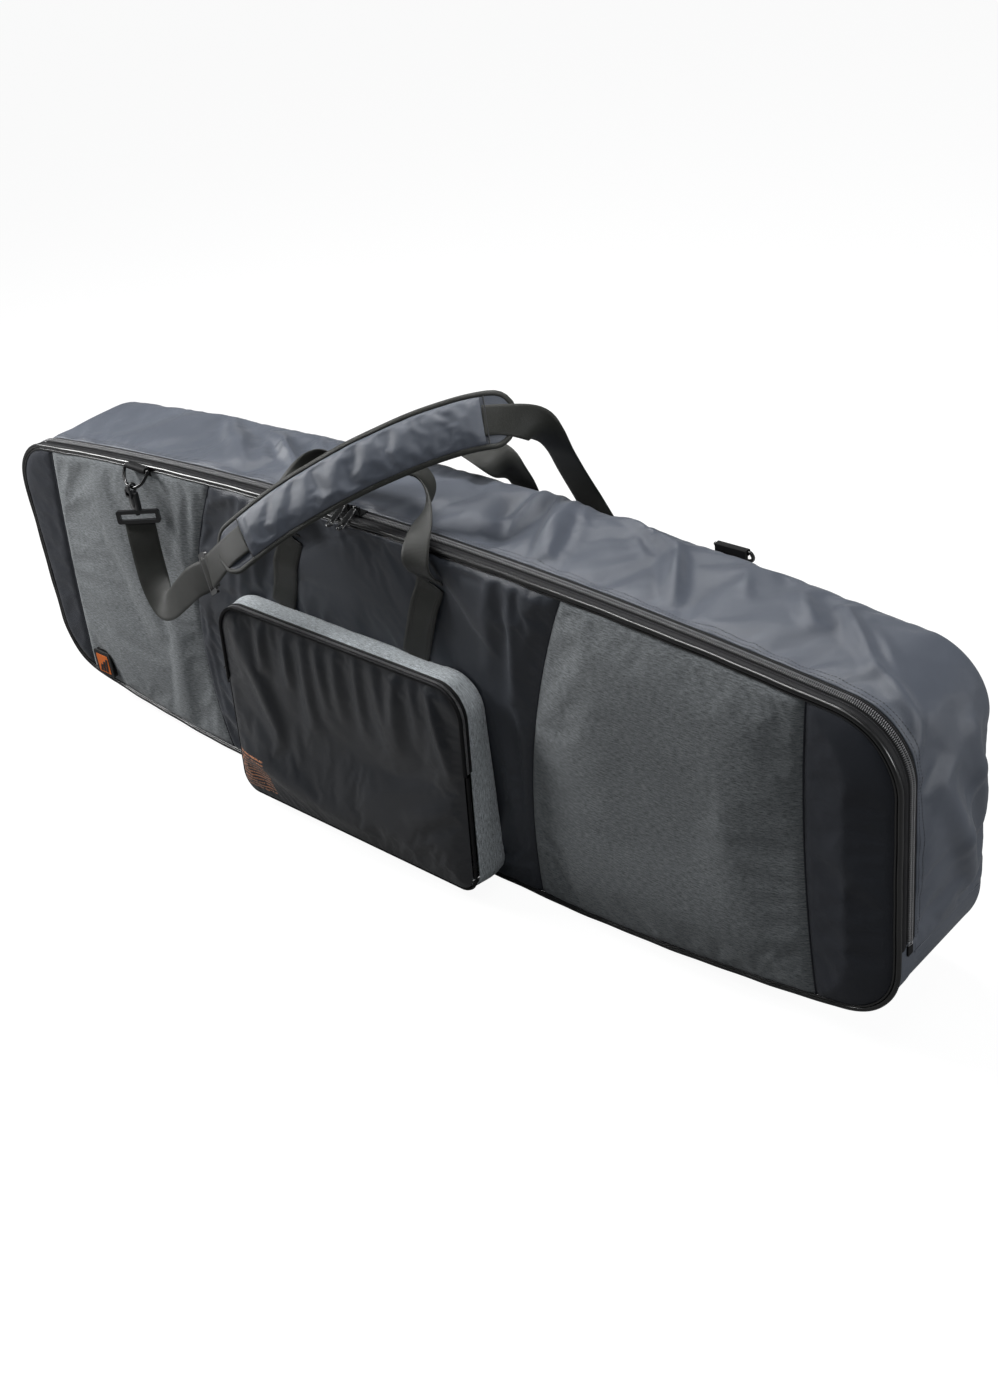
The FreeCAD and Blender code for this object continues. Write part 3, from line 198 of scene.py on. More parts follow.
def webbing_material(name, deep, pale):
    """Ribbed polypropylene webbing: fine cross ribs and slanting threads."""
    material, tree = new_material(name)
    where = place(tree)
    split = node(tree, "ShaderNodeSeparateXYZ", {0: where})
    along, across = split.outputs[0], split.outputs[1]
    ribs = maths(tree, "SINE", maths(tree, "MULTIPLY", along, 2 * math.pi / 0.0017))
    slant = maths(tree, "ADD", along, maths(tree, "MULTIPLY", across, 1.4))
    twill = maths(tree, "SINE", maths(tree, "MULTIPLY", slant, 2 * math.pi / 0.0015))
    fuzz = noise(tree, where, 700.0, 2.0)
    wear = noise(tree, where, 22.0, 3.0)
    height = maths(tree, "ADD", maths(tree, "MULTIPLY", ribs, 0.6),
                   maths(tree, "ADD", twill, fuzz))
    tone = maths(tree, "ADD", maths(tree, "MULTIPLY", twill, 0.15),
                 maths(tree, "ADD", maths(tree, "MULTIPLY", fuzz, 0.6),
                       maths(tree, "MULTIPLY", wear, 0.4)))
    tint = mixed(tree, ramp(tree, tone, 0.2, 0.8), deep, pale)
    finish_material(tree, {
        "Base Color": tint, "Roughness": 0.48, "Sheen Weight": 0.05,
        "Specular IOR Level": 0.4,
    }, height, 0.35, 0.0003)
    return material


def coated_fabric(name, print_box=None):
    """Dark pocket cloth with a soft sheen; print_box holds a faded copper line print."""
    material, tree = new_material(name)
    where = place(tree)
    grain = noise(tree, where, 1100.0, 2.0)
    patchy = noise(tree, where, 12.0, 3.0)
    tint = mixed(tree, ramp(tree, patchy, 0.3, 0.7),
                 colour(0.007, 0.0085, 0.0125), colour(0.011, 0.0135, 0.019))
    if print_box:
        left, low, right, high = print_box
        split = node(tree, "ShaderNodeSeparateXYZ", {0: where})
        u, v = split.outputs[0], split.outputs[1]
        inside = maths(tree, "MULTIPLY", maths(tree, "GREATER_THAN", u, left),
                       maths(tree, "LESS_THAN", u, right))
        inside = maths(tree, "MULTIPLY", inside, maths(tree, "GREATER_THAN", v, low))
        inside = maths(tree, "MULTIPLY", inside, maths(tree, "LESS_THAN", v, high))
        lines = maths(tree, "GREATER_THAN", maths(tree, "SINE", maths(
            tree, "MULTIPLY", v, 2 * math.pi / 0.0060)), 0.1)
        words = noise(tree, stretched(tree, where, (260.0, 180.0, 1.0)), 1.0, 1.0)
        broken = maths(tree, "GREATER_THAN", words, 0.40)
        faded = ramp(tree, noise(tree, where, 60.0, 2.0), 0.05, 0.5)
        mark = maths(tree, "MULTIPLY", maths(tree, "MULTIPLY", lines, broken),
                     maths(tree, "MULTIPLY", inside, faded))
        tint = mixed(tree, mark, tint, colour(0.62, 0.25, 0.12))
    weave = threads(tree, where, 0.0009)
    height = maths(tree, "ADD", weave, grain)
    finish_material(tree, {
        "Base Color": tint, "Roughness": maths(tree, "ADD", 0.31, maths(
            tree, "MULTIPLY", patchy, 0.1)),
        "Sheen Weight": 0.04, "Specular IOR Level": 0.6, "Coat Weight": 0.15,
        "Coat Roughness": 0.36,
    }, height, 0.15, 0.0003)
    return material


def smooth_material(name, tint, rough, metal=0.0, coat=0.0, marks=0.12):
    """Moulded or enamelled surface with slight unevenness and fine scuffs."""
    material, tree = new_material(name)
    where = place(tree, "Object")
    waves = noise(tree, where, 160.0, 3.0)
    scuffs = noise(tree, stretched(tree, where, (400.0, 60.0, 400.0)), 1.0, 4.0, 0.7)
    worn = ramp(tree, scuffs, 0.58, 0.78)
    pale = tuple(min(1.0, c * 2.2 + 0.02) for c in tint[:3]) + (1.0,)
    roughness = maths(tree, "ADD", rough, maths(tree, "MULTIPLY", waves, marks))
    finish_material(tree, {
        "Base Color": mixed(tree, maths(tree, "MULTIPLY", worn, 0.4), tint, pale),
        "Roughness": roughness, "Metallic": metal, "Coat Weight": coat,
        "Coat Roughness": 0.12,
    }, waves, 0.08, 0.0004)
    return material


def thread_material(name, tint):
    material, tree = new_material(name)
    twist = noise(tree, place(tree, "Object"), 3000.0, 1.0)
    finish_material(tree, {
        "Base Color": mixed(tree, twist, tint, tuple(c * 1.6 for c in tint[:3]) + (1.0,)),
        "Roughness": 0.5, "Sheen Weight": 0.2, "Specular IOR Level": 0.5,
    })
    return material


SLATE = woven_fabric("slate polyester", colour(0.058, 0.067, 0.086), colour(0.086, 0.097, 0.120),
                     rough=0.42, sheen=0.15, shine=0.5)
NAVY = woven_fabric("navy polyester", colour(0.030, 0.035, 0.046), colour(0.046, 0.052, 0.065),
                    rough=0.44, sheen=0.1, shine=0.45)
NIGHT = woven_fabric("night navy polyester", colour(0.018, 0.021, 0.029),
                     colour(0.029, 0.033, 0.044), rough=0.6, sheen=0.08)
HEATHER = heather_fabric("heather grey")
# the pocket band's cloth: the same heather with every colour raised 2.5 times as painted light, for its
# upward-facing top
HEATHER_PAINTED_LIT = heather_fabric("heather grey painted lit", 2.5)
COATED = coated_fabric("coated pocket cloth", (-0.281, 0.034, -0.208, 0.106))
WEBBING = webbing_material("charcoal webbing", colour(0.008, 0.0085, 0.007), colour(0.028, 0.029, 0.024))
BINDING = webbing_material("binding tape", colour(0.009, 0.0095, 0.008), colour(0.030, 0.031, 0.026))
TAPE = woven_fabric("zip tape", colour(0.006, 0.006, 0.007), colour(0.014, 0.014, 0.014),
                    rough=0.65, sheen=0.0, pitch=0.0016, shine=0.15)
STRIP = woven_fabric("black boxing cloth", colour(0.006, 0.006, 0.007), colour(0.013, 0.013, 0.014),
                     rough=0.5, sheen=0.0, shine=0.2)
LINING = woven_fabric("lining", colour(0.05, 0.05, 0.055), colour(0.08, 0.08, 0.085), by="Object")
PIPE = smooth_material("glossy piping", colour(0.008, 0.008, 0.008), 0.24, coat=0.35, marks=0.2)
COIL = smooth_material("nylon coil", colour(0.20, 0.20, 0.205), 0.26, coat=0.5)
ENAMEL = smooth_material("black enamel", colour(0.012, 0.012, 0.012), 0.16, metal=0.6, coat=0.6)
RIM_METAL = smooth_material("polished rim", colour(0.12, 0.12, 0.12), 0.22, metal=1.0)
MOULDED = smooth_material("moulded plastic", colour(0.010, 0.010, 0.011), 0.26, coat=0.25)
ORANGE = smooth_material("orange rubber", colour(0.72, 0.16, 0.02), 0.55, marks=0.2)
RUBBER = smooth_material("black rubber", colour(0.012, 0.012, 0.012), 0.6)
BUTTON_GREY = smooth_material("grey button", colour(0.07, 0.07, 0.07), 0.35, coat=0.1)
THREAD = thread_material("black thread", colour(0.012, 0.013, 0.016))
THREAD_DARK = thread_material("charcoal thread", colour(0.035, 0.036, 0.032))
THREAD_GREY = thread_material("grey thread", colour(0.16, 0.17, 0.17))


# --------------------------------------------------------------------- mesh helpers
def new_object(name, points, faces, uv, material, smooth=True):
    """A mesh object at the origin with its place in its points, uv given by point."""
    mesh = bpy.data.meshes.new(name)
    mesh.from_pydata([tuple(map(float, p)) for p in points], [], [list(map(int, f)) for f in faces])
    mesh.materials.append(material)
    layer = mesh.uv_layers.new(name="cut")
    corners = np.zeros(len(mesh.loops), dtype=np.int64)
    mesh.loops.foreach_get("vertex_index", corners)
    layer.data.foreach_set("uv", np.asarray(uv, float)[corners].ravel())
    mesh.polygons.foreach_set("use_smooth", [smooth] * len(mesh.polygons))
    mesh.update()
    made = bpy.data.objects.new(name, mesh)
    bpy.context.scene.collection.objects.link(made)
    return made


def grid_object(name, points, uv, material, closed=False):
    """A sheet from a grid of points; closed joins the second direction to itself."""
    n, m = points.shape[:2]
    index = np.arange(n * m).reshape(n, m)
    near, far = index, np.roll(index, -1, axis=1)
    if not closed:
        near, far = index[:, :-1], index[:, 1:]
    faces = np.stack([near[:-1], near[1:], far[1:], far[:-1]], -1).reshape(-1, 4)
    return new_object(name, points.reshape(-1, 3), faces, uv.reshape(-1, 2), material)


def add(obj, body, stands_for=()):
    """Makes a piece ride on a body and hides the CAD nodes it replaces."""
    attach(obj, body)
    if stands_for:
        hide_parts(*stands_for)
    return obj


def modified(obj, kind, **settings):
    found = obj.modifiers.new(kind.lower(), kind)
    for key, value in settings.items():
        setattr(found, key, value)
    return found


def settled_mesh(obj):
    """The object's mesh with its modifiers made final."""
    graph = bpy.context.evaluated_depsgraph_get()
    mesh = bpy.data.meshes.new_from_object(obj.evaluated_get(graph))
    obj.modifiers.clear()
    obj.data = mesh
    return obj


def points_of(obj):
    found = np.zeros(len(obj.data.vertices) * 3)
    obj.data.vertices.foreach_get("co", found)
    return found.reshape(-1, 3)


def set_points(obj, points):
    obj.data.vertices.foreach_set("co", np.asarray(points, float).ravel())
    obj.data.update()


def relax(obj, held, spare=0.02, push=0.0, limit=0.02, bend=0.4):
    """Lets a piece of cloth, cut with some to spare, settle between its seams.

    held is how firmly each point is sewn down, push the pressure behind it.
    """
    frames, stiff = 18, 12.0
    rest = points_of(obj)
    group = obj.vertex_groups.new(name="sewn")
    for index, weight in enumerate(held):
        if weight > 0:
            group.add([index], float(weight), "REPLACE")
    cloth = modified(obj, "CLOTH")
    settings = cloth.settings
    settings.quality = 4
    settings.mass = 0.25
    settings.tension_stiffness = stiff
    settings.compression_stiffness = stiff
    settings.shear_stiffness = stiff / 2
    settings.bending_stiffness = bend
    settings.air_damping = 4.0
    settings.vertex_group_mass = "sewn"
    settings.shrink_min = -spare
    settings.shrink_max = -spare
    settings.use_pressure = push != 0.0
    settings.uniform_pressure_force = push
    settings.effector_weights.gravity = 0.0
    cloth.collision_settings.use_collision = False
    cloth.collision_settings.use_self_collision = False
    cloth.point_cache.frame_start = 1
    cloth.point_cache.frame_end = frames
    scene = bpy.context.scene
    for number in range(1, frames + 1):
        scene.frame_set(number)
    settled_mesh(obj)
    moved = points_of(obj) - rest
    far = np.linalg.norm(moved, axis=1, keepdims=True)
    moved *= np.minimum(1.0, limit / np.maximum(far, 1e-9))
    set_points(obj, rest + moved)
    obj.vertex_groups.clear()
    scene.frame_set(1)
    return obj


def pushed_out(obj, normal, lift):
    """Moves a piece's points by lift along outward normals given in X and Z."""
    points = points_of(obj)
    points[:, 0] += normal[:, 0] * lift
    points[:, 2] += normal[:, 1] * lift
    set_points(obj, points)


def standing(xz, y):
    """Points from X and Z pairs, with their Y."""
    return np.stack([xz[..., 0], np.broadcast_to(y, xz[..., 0].shape), xz[..., 1]], axis=-1)


def surface_of(*objects):
    """The faces of finished pieces, ready to lay things on."""
    points, faces = [], []
    for obj in objects:
        base = len(points)
        points += [v.co.copy() for v in obj.data.vertices]
        faces += [[base + i for i in f.vertices] for f in obj.data.polygons]
    return BVHTree.FromPolygons(points, faces)


def laid_on(surface, path, outward, lift, reach=0.03):
    """A path moved along its outward directions onto a surface and lifted a little."""
    found = []
    for point, way in zip(path, outward):
        way = Vector(way).normalized()
        hit = surface.ray_cast(Vector(point) + way * reach, -way, 2 * reach)[0]
        found.append(tuple(hit + way * lift) if hit else tuple(point))
    return np.array(found)


# ------------------------------------------------------------------ the bag's outline
def arc(cx, cz, radius, start, end, count):
    angle = np.linspace(start, end, count)
    return np.stack([cx + radius * np.cos(angle), cz + radius * np.sin(angle)], axis=1)


def lengths_of(path):
    return np.concatenate([[0.0], np.cumsum(np.linalg.norm(np.diff(path, axis=0), axis=1))])


def outline_curve():
    """Outline in X and Z, clockwise from the middle of the base."""
    corner_x = LENGTH / 2 - CORNER
    top = HEIGHT - TOP_RADIUS
    shoulder = top + math.sqrt((TOP_RADIUS - CORNER) ** 2 - corner_x ** 2)
    reach = corner_x - BASE_FLAT
    heel = BASE_RADIUS - math.sqrt((BASE_RADIUS - CORNER) ** 2 - reach ** 2)
    turn = math.atan2(shoulder - top, corner_x)
    low = math.atan2(heel - BASE_RADIUS, reach)
    right = np.concatenate([
        arc(0, top, TOP_RADIUS, math.pi / 2, turn, 300)[:-1],
        arc(corner_x, shoulder, CORNER, turn, 0, 80),
        arc(corner_x, heel, CORNER, 0, low, 80)[:-1],
        arc(BASE_FLAT, BASE_RADIUS, BASE_RADIUS, low, -math.pi / 2, 120),
        [[0.0, 0.0]],
    ])
    loop = np.concatenate([(right * [-1, 1])[::-1], right[1:]])
    return lengths_of(loop), loop


RIM_S, RIM = outline_curve()
GIRTH = RIM_S[-1]
MIDDLE = GIRTH / 2


def rim_at(s, inset=0.0):
    """Outline points at lengths s clockwise from the middle of the base, and outward normals."""
    def at(value):
        value = np.mod(value, GIRTH)
        return np.stack([np.interp(value, RIM_S, RIM[:, k]) for k in (0, 1)], axis=-1)
    tangent = at(s + 0.003) - at(s - 0.003)
    tangent /= np.linalg.norm(tangent, axis=-1, keepdims=True)
    normal = np.stack([-tangent[..., 1], tangent[..., 0]], axis=-1)
    return at(s) - normal * np.asarray(inset)[..., None], normal


def zip_reach():
    """Length from the top middle to where the zip stops on an end."""
    side = (RIM_S > MIDDLE) & (np.abs(RIM[:, 0] - LENGTH / 2) < 1e-6)
    here = RIM_S[side]
    return float(np.interp(-ZIP_END, -RIM[side, 1], here) - MIDDLE)


REACH = zip_reach()


def rim_strip(name, start, end, rows, material, step=0.006):
    """A band of cloth round the bag; rows are places across it as (y, inset)."""
    floor = 0.0008
    count = max(4, int((end - start) / step))
    s = np.linspace(start, end, count)
    rows = np.asarray(rows, float)
    ss = np.repeat(s[:, None], len(rows), axis=1)
    xz, _ = rim_at(ss, np.repeat(rows[None, :, 1], count, axis=0))
    y = np.repeat(rows[None, :, 0], count, axis=0)
    points = np.stack([xz[..., 0], y, np.maximum(xz[..., 1], floor)], axis=-1)
    depth = lengths_of(rows)
    uv = np.stack([ss, np.repeat(depth[None, :], count, axis=0)], axis=-1)
    return grid_object(name, points, uv, material), ss, y


def rim_line(start, end, y, inset):
    """A line round the bag at one y and inset, with outward normals."""
    s = np.linspace(start, end, max(4, int((end - start) / 0.003)))
    xz, normal = rim_at(s, np.full(len(s), inset))
    return standing(xz, y), standing(normal, 0.0)


# ------------------------------------------------------------------ things on a path
def resampled(path, step, closed=False):
    path = np.asarray(path, float)
    if closed:
        path = np.concatenate([path, path[:1]])
    along = lengths_of(path)
    count = max(2, int(round(along[-1] / step)) + 1)
    s = np.linspace(0, along[-1], count)
    found = np.stack([np.interp(s, along, path[:, k]) for k in range(path.shape[1])], axis=-1)
    return found[:-1] if closed else found


def frames_on(path, normals):
    """Tangent, side and normal at each point of a path."""
    tangent = np.gradient(path, axis=0)
    tangent /= np.linalg.norm(tangent, axis=1, keepdims=True)
    normals = normals - tangent * np.sum(normals * tangent, axis=1, keepdims=True)
    normals /= np.linalg.norm(normals, axis=1, keepdims=True)
    return tangent, np.cross(normals, tangent), normals


def tube(name, path, radius, material, sides=10, normals=None, flat=1.0, closed=False):
    """A cord along a path; flat squashes it along its normals."""
    path = np.asarray(path, float)
    if normals is None:
        normals = np.tile([0.0, -1.0, 0.0], (len(path), 1)) + np.array([0.01, 0.0, 0.02])
    if closed:
        path = np.concatenate([path, path[:1]])
        normals = np.concatenate([normals, normals[:1]])
    _, side, normal = frames_on(path, normals)
    angle = np.linspace(0, 2 * math.pi, sides, endpoint=False)
    radius = np.broadcast_to(np.asarray(radius, float), (len(path),))
    ring = (side[:, None] * np.cos(angle)[None, :, None]
            + normal[:, None] * flat * np.sin(angle)[None, :, None])
    points = path[:, None] + ring * radius[:, None, None]
    along = lengths_of(path)
    uv = np.stack([np.repeat(along[:, None], sides, axis=1),
                   np.repeat(angle[None] * radius.mean(), len(path), axis=0)], axis=-1)
    return grid_object(name, points, uv, material, closed=True)


def repeater():
    """Geometry Nodes group: one item at each point, turned as its point says, made real."""
    tree = bpy.data.node_groups.new("repeat item", "GeometryNodeTree")
    face = tree.interface
    face.new_socket("Geometry", in_out="INPUT", socket_type="NodeSocketGeometry")
    item = face.new_socket("Item", in_out="INPUT", socket_type="NodeSocketObject")
    finish = face.new_socket("Material", in_out="INPUT", socket_type="NodeSocketMaterial")
    face.new_socket("Geometry", in_out="OUTPUT", socket_type="NodeSocketGeometry")
    start = node(tree, "NodeGroupInput")
    picked = node(tree, "GeometryNodeObjectInfo", {"Object": start.outputs["Item"]})
    turn = node(tree, "GeometryNodeInputNamedAttribute", {"Name": "turn"}, data_type="FLOAT_VECTOR")
    spread = node(tree, "GeometryNodeInstanceOnPoints", {
        "Points": start.outputs["Geometry"], "Instance": picked.outputs["Geometry"],
        "Rotation": turn.outputs["Attribute"]})
    real = node(tree, "GeometryNodeRealizeInstances", {"Geometry": spread.outputs[0]})
    dressed = node(tree, "GeometryNodeSetMaterial",
                   {"Geometry": real.outputs[0], "Material": start.outputs["Material"]})
    end = node(tree, "NodeGroupOutput")
    tree.links.new(dressed.outputs[0], end.inputs[0])
    return tree, item.identifier, finish.identifier


REPEAT, ITEM_KEY, FINISH_KEY = repeater()


def repeated(name, item, path, normals, pitch, material, start=0.0):
    """The item every pitch along a path, its X along the path and its Z off the surface."""
    along = lengths_of(path)
    s = np.arange(start + pitch / 2, along[-1], pitch)
    spots = np.stack([np.interp(s, along, path[:, k]) for k in range(3)], axis=-1)
    up = np.stack([np.interp(s, along, normals[:, k]) for k in range(3)], axis=-1)
    tangent, _, normal = frames_on(spots, up)
    turns = []
    for x, z in zip(tangent, normal):
        y = np.cross(z, x)
        turns.append(tuple(Matrix((x, y, z)).transposed().to_euler()))
    mesh = bpy.data.meshes.new(name)
    mesh.from_pydata([tuple(map(float, p)) for p in spots], [], [])
    layer = mesh.attributes.new("turn", "FLOAT_VECTOR", "POINT")
    layer.data.foreach_set("vector", np.asarray(turns, float).ravel())
    host = bpy.data.objects.new(name, mesh)
    bpy.context.scene.collection.objects.link(host)
    spread = modified(host, "NODES", node_group=REPEAT)
    spread[ITEM_KEY] = item
    spread[FINISH_KEY] = material
    bpy.context.view_layer.update()
    settled_mesh(host)
    host.data.polygons.foreach_set("use_smooth", [True] * len(host.data.polygons))
    return host


def capsule(name, length, radius):
    """A short rounded bar along X, the shape of one stitch."""
    rings, sides = 6, 6
    rows = []
    for share in np.linspace(-1, 1, rings):
        grow = math.sqrt(max(0.02, 1 - abs(share) ** 4))
        rows.append((share * length / 2, radius * grow))
    angle = np.linspace(0, 2 * math.pi, sides, endpoint=False)
    points = np.array([[(x, r * math.cos(a), r * 0.7 * math.sin(a)) for a in angle] for x, r in rows])
    return grid_object(name, points, np.zeros((len(rows), sides, 2)), THREAD, closed=True)


def coil_turn(name):
    """One turn of a zip coil: a small loop that stands over the tape."""
    angle = np.linspace(-0.15 * math.pi, 1.15 * math.pi, 7)
    path = np.stack([np.linspace(-0.0003, 0.0003, 7), 0.0021 * np.cos(angle),
                     0.0013 * np.sin(angle)], axis=-1)
    return tube(name, path, 0.00055, COIL, sides=5, normals=np.tile([1.0, 0, 0.0], (7, 1)))


STITCH = capsule("stitch_item", 0.0030, 0.00048)
FINE_STITCH = capsule("fine_stitch_item", 0.0022, 0.00036)
TURN = coil_turn("coil_item")
ITEMS = (STITCH, FINE_STITCH, TURN)


def stitches(name, path, normals, body, pitch, material=THREAD, item=STITCH):
    """A row of stitches along a path."""
    return add(repeated(name, item, path, normals, pitch, material), body)


# ----------------------------------------------------------------- flat pieces of cloth
def inside_of(points, polygon):
    """True for points inside a closed polygon."""
    x, y = points[:, 0][:, None], points[:, 1][:, None]
    ax, ay = polygon[:, 0][None], polygon[:, 1][None]
    bx, by = np.roll(polygon[:, 0], -1)[None], np.roll(polygon[:, 1], -1)[None]
    crosses = (ay > y) != (by > y)
    with np.errstate(divide="ignore", invalid="ignore"):
        where = (bx - ax) * (y - ay) / (by - ay) + ax
    return (np.sum(crosses & (x < where), axis=1) % 2) == 1


def edge_distance(points, polygon):
    found = np.full(len(points), 1e9)
    for a, b in zip(polygon, np.roll(polygon, -1, axis=0)):
        run = b - a
        share = np.clip(((points - a) @ run) / max(run @ run, 1e-12), 0, 1)
        found = np.minimum(found, np.linalg.norm(points - a - share[:, None] * run, axis=1))
    return found


def filled(polygon, spacing):
    """Triangles that fill a closed shape, and each point's distance to its edge."""
    edge = resampled(polygon, spacing, closed=True)
    low, high = edge.min(axis=0), edge.max(axis=0)
    xs = np.arange(low[0], high[0], spacing)
    zs = np.arange(low[1], high[1], spacing * 0.866)
    gx, gz = np.meshgrid(xs, zs)
    gx[1::2] += spacing / 2
    spots = np.stack([gx.ravel(), gz.ravel()], axis=-1)
    spots += chance.uniform(-0.12, 0.12, spots.shape) * spacing
    spots = spots[inside_of(spots, edge)]
    spots = spots[edge_distance(spots, edge) > 0.6 * spacing]
    every = np.concatenate([edge, spots])
    ties = [(i, (i + 1) % len(edge)) for i in range(len(edge))]
    found = delaunay_2d_cdt([Vector(p) for p in every.tolist()], ties, [], 1, 1e-7)
    points = np.array([tuple(p) for p in found[0]])
    return points, found[2], edge_distance(points, edge)


def folds_at(points, folds):
    """Height of soft folds; each is (start, end, height, half width) on the flat cloth."""
    height = np.zeros(len(points))
    for start, end, tall, wide in folds:
        a, b = np.array(start), np.array(end)
        run = b - a
        share = ((points - a) @ run) / (run @ run)
        near = points - a - np.clip(share, 0, 1)[:, None] * run
        gap = np.linalg.norm(near, axis=1)
        fade = np.clip(1.25 - np.abs(np.clip(share, -0.2, 1.2) - 0.5) * 1.5, 0, 1)
        height += tall * fade * np.exp(-(gap / wide) ** 2)
    return height


def uneven(points, scale, seed):
    """Slow random waves over a piece of cloth."""
    roll = np.random.default_rng(seed)
    total = np.zeros(len(points))
    for _ in range(10):
        way = roll.normal(size=2)
        way /= np.linalg.norm(way)
        total += np.sin(points @ way / scale * roll.uniform(0.6, 1.8) + roll.uniform(0, 6.3))
    return total / 10


# ------------------------------------------------------------------------ lid panels
SEAMS = {
    "left_end": (-0.704, -0.745, -0.764),
    "left_grey": (-0.288, -0.409, -0.392),
    "right_grey": (0.370, 0.278, 0.264),
    "right_end": (0.708, 0.696, 0.716),
}


def seam_x(name, z):
    """X of a seam across the lid at height z."""
    top, middle, bottom = SEAMS[name]
    share = (np.asarray(z, float) + 0.02) / 0.56
    return (bottom * 2 * (share - 0.5) * (share - 1) + middle * 4 * share * (1 - share)
            + top * 2 * share * (share - 0.5))


def lid_outline():
    """Edge of the front panels, clockwise from the base middle."""
    xz, _ = rim_at(np.linspace(0, GIRTH, 900, endpoint=False), np.full(900, PANEL_INSET))
    xz[:, 1] = np.maximum(xz[:, 1], PANEL_FOOT)
    return xz


def panel_shape(left, right):
    """The part of the lid between two seams, counter-clockwise."""
    edge = lid_outline()

    def between(points):
        fine = np.ones(len(points), bool)
        if left:
            fine &= points[:, 0] > seam_x(left, points[:, 1])
        if right:
            fine &= points[:, 0] < seam_x(right, points[:, 1])
        return fine

    kept = between(edge)
    shape = []
    count = len(edge)
    first = next(i for i in range(count) if kept[i] and not kept[i - 1]) if not kept.all() else 0
    order = [(first + i) % count for i in range(count)]
    run = []
    for i in order:
        if kept[i]:
            run.append(edge[i])
        elif run:
            shape.append(np.array(run))
            run = []
    if run:
        shape.append(np.array(run))
    pieces = [shape[0]]
    for part in shape[1:] + [shape[0]]:
        last, ahead = pieces[-1][-1], part[0]
        name = left if (left and abs(last[0] - seam_x(left, last[1])) < 0.02) else right
        zs = np.linspace(last[1], ahead[1], 80)[1:-1]
        pieces.append(np.stack([seam_x(name, zs), zs], axis=-1))
        if part is not shape[0]:
            pieces.append(part)
    return np.concatenate(pieces)[::-1]


def crown_at(flat):
    """How far the padding stands out: more to the right, where nothing hangs on it."""
    share = np.clip((flat[:, 0] - 0.15) / 0.25, 0, 1)
    return 0.0015 + 0.0125 * share * share * (3 - 2 * share)


def build_panels():
    """Five padded panels, each sewn down at its edges and a little slack between."""
    panels = []
    span = [
        ("lid_left_end", None, "left_end", NIGHT, "dark_fabric", 0.004, 1.0, []),
        ("lid_left_grey", "left_end", "left_grey", HEATHER, "heather_fabric", 0.006, 1.0, [
            ((-0.60, 0.42), (-0.52, 0.20), 0.002, 0.03),
            ((-0.38, 0.47), (-0.42, 0.36), 0.003, 0.012),
            ((-0.35, 0.48), (-0.39, 0.36), 0.0025, 0.010),
            ((-0.46, 0.30), (-0.50, 0.05), 0.0025, 0.025),
        ]),
        ("lid_centre", "left_grey", "right_grey", NAVY, "navy_fabric", 0.020, 1.2, [
            ((0.278, 0.495), (0.262, 0.33), 0.004, 0.009),
            ((0.304, 0.508), (0.250, 0.318), 0.005, 0.011),
            ((0.322, 0.504), (0.268, 0.343), 0.004, 0.010),
            ((0.245, 0.505), (0.215, 0.36), 0.003, 0.012),
            ((0.262, 0.33), (0.272, 0.10), 0.004, 0.014),
            ((-0.265, 0.49), (-0.30, 0.34), 0.004, 0.010),
            ((-0.235, 0.50), (-0.275, 0.33), 0.004, 0.010),
            ((-0.205, 0.50), (-0.235, 0.36), 0.003, 0.010),
            ((0.225, 0.30), (0.235, 0.05), 0.003, 0.02),
        ]),
        ("lid_right_grey", "right_grey", "right_end", HEATHER, "heather_fabric", 0.004, 0.8, [
            ((0.39, 0.44), (0.33, 0.33), 0.0015, 0.014),
        ]),
        ("lid_right_end", "right_end", None, NIGHT, "dark_fabric", 0.004, 0.8, [
            ((0.745, 0.30), (0.79, 0.24), 0.002, 0.02),
        ]),
    ]
    for name, left, right, material, slot, spare, wave, folds in span:
        flat, faces, inward = filled(panel_shape(left, right), 0.0075)
        rise = 0.0050 * (1 - np.exp(-inward / 0.008)) + crown_at(flat) * np.sin(
            np.clip(inward / 0.11, 0, 1) * math.pi / 2)
        rise += folds_at(flat, folds) * np.clip(inward / 0.008, 0, 1)
        rise += 0.0012 * wave * uneven(flat, 0.05, 3) * np.clip(inward / 0.03, 0, 1)
        points = standing(flat, FRONT + 0.0045 - rise)
        panel = new_object(name + "_cloth", points, faces, flat, material)
        relax(panel, np.clip(1.0 - inward / 0.006, 0, 1), spare, push=0.12, limit=0.004)
        modified(panel, "SUBSURF", levels=1, render_levels=1)
        settled_mesh(panel)
        add(panel, "lid", [name])
        panels.append(panel)
    front = surface_of(*panels)
    for name in SEAMS:
        z = np.linspace(0.0, 0.53, 400)
        x = seam_x(name, z)
        edge = lid_outline()
        keep = inside_of(np.stack([x, z], axis=-1), edge)
        x, z = x[keep], z[keep]
        path = standing(np.stack([x, z], axis=-1), FRONT + 0.0040)
        out = np.tile([0.0, -1.0, 0.0], (len(x), 1))
        add(tube("seam_cord_" + name, path, 0.0012, NIGHT, sides=6), "lid")
        shift = 0.0055 if name in ("left_grey", "right_end") else -0.0055
        beside = laid_on(front, path + np.array([shift, 0.0, 0.0]), out, 0.0001)
        stitches("seam_stitches_" + name, beside, out, "lid", 0.0042, item=FINE_STITCH)
    return front


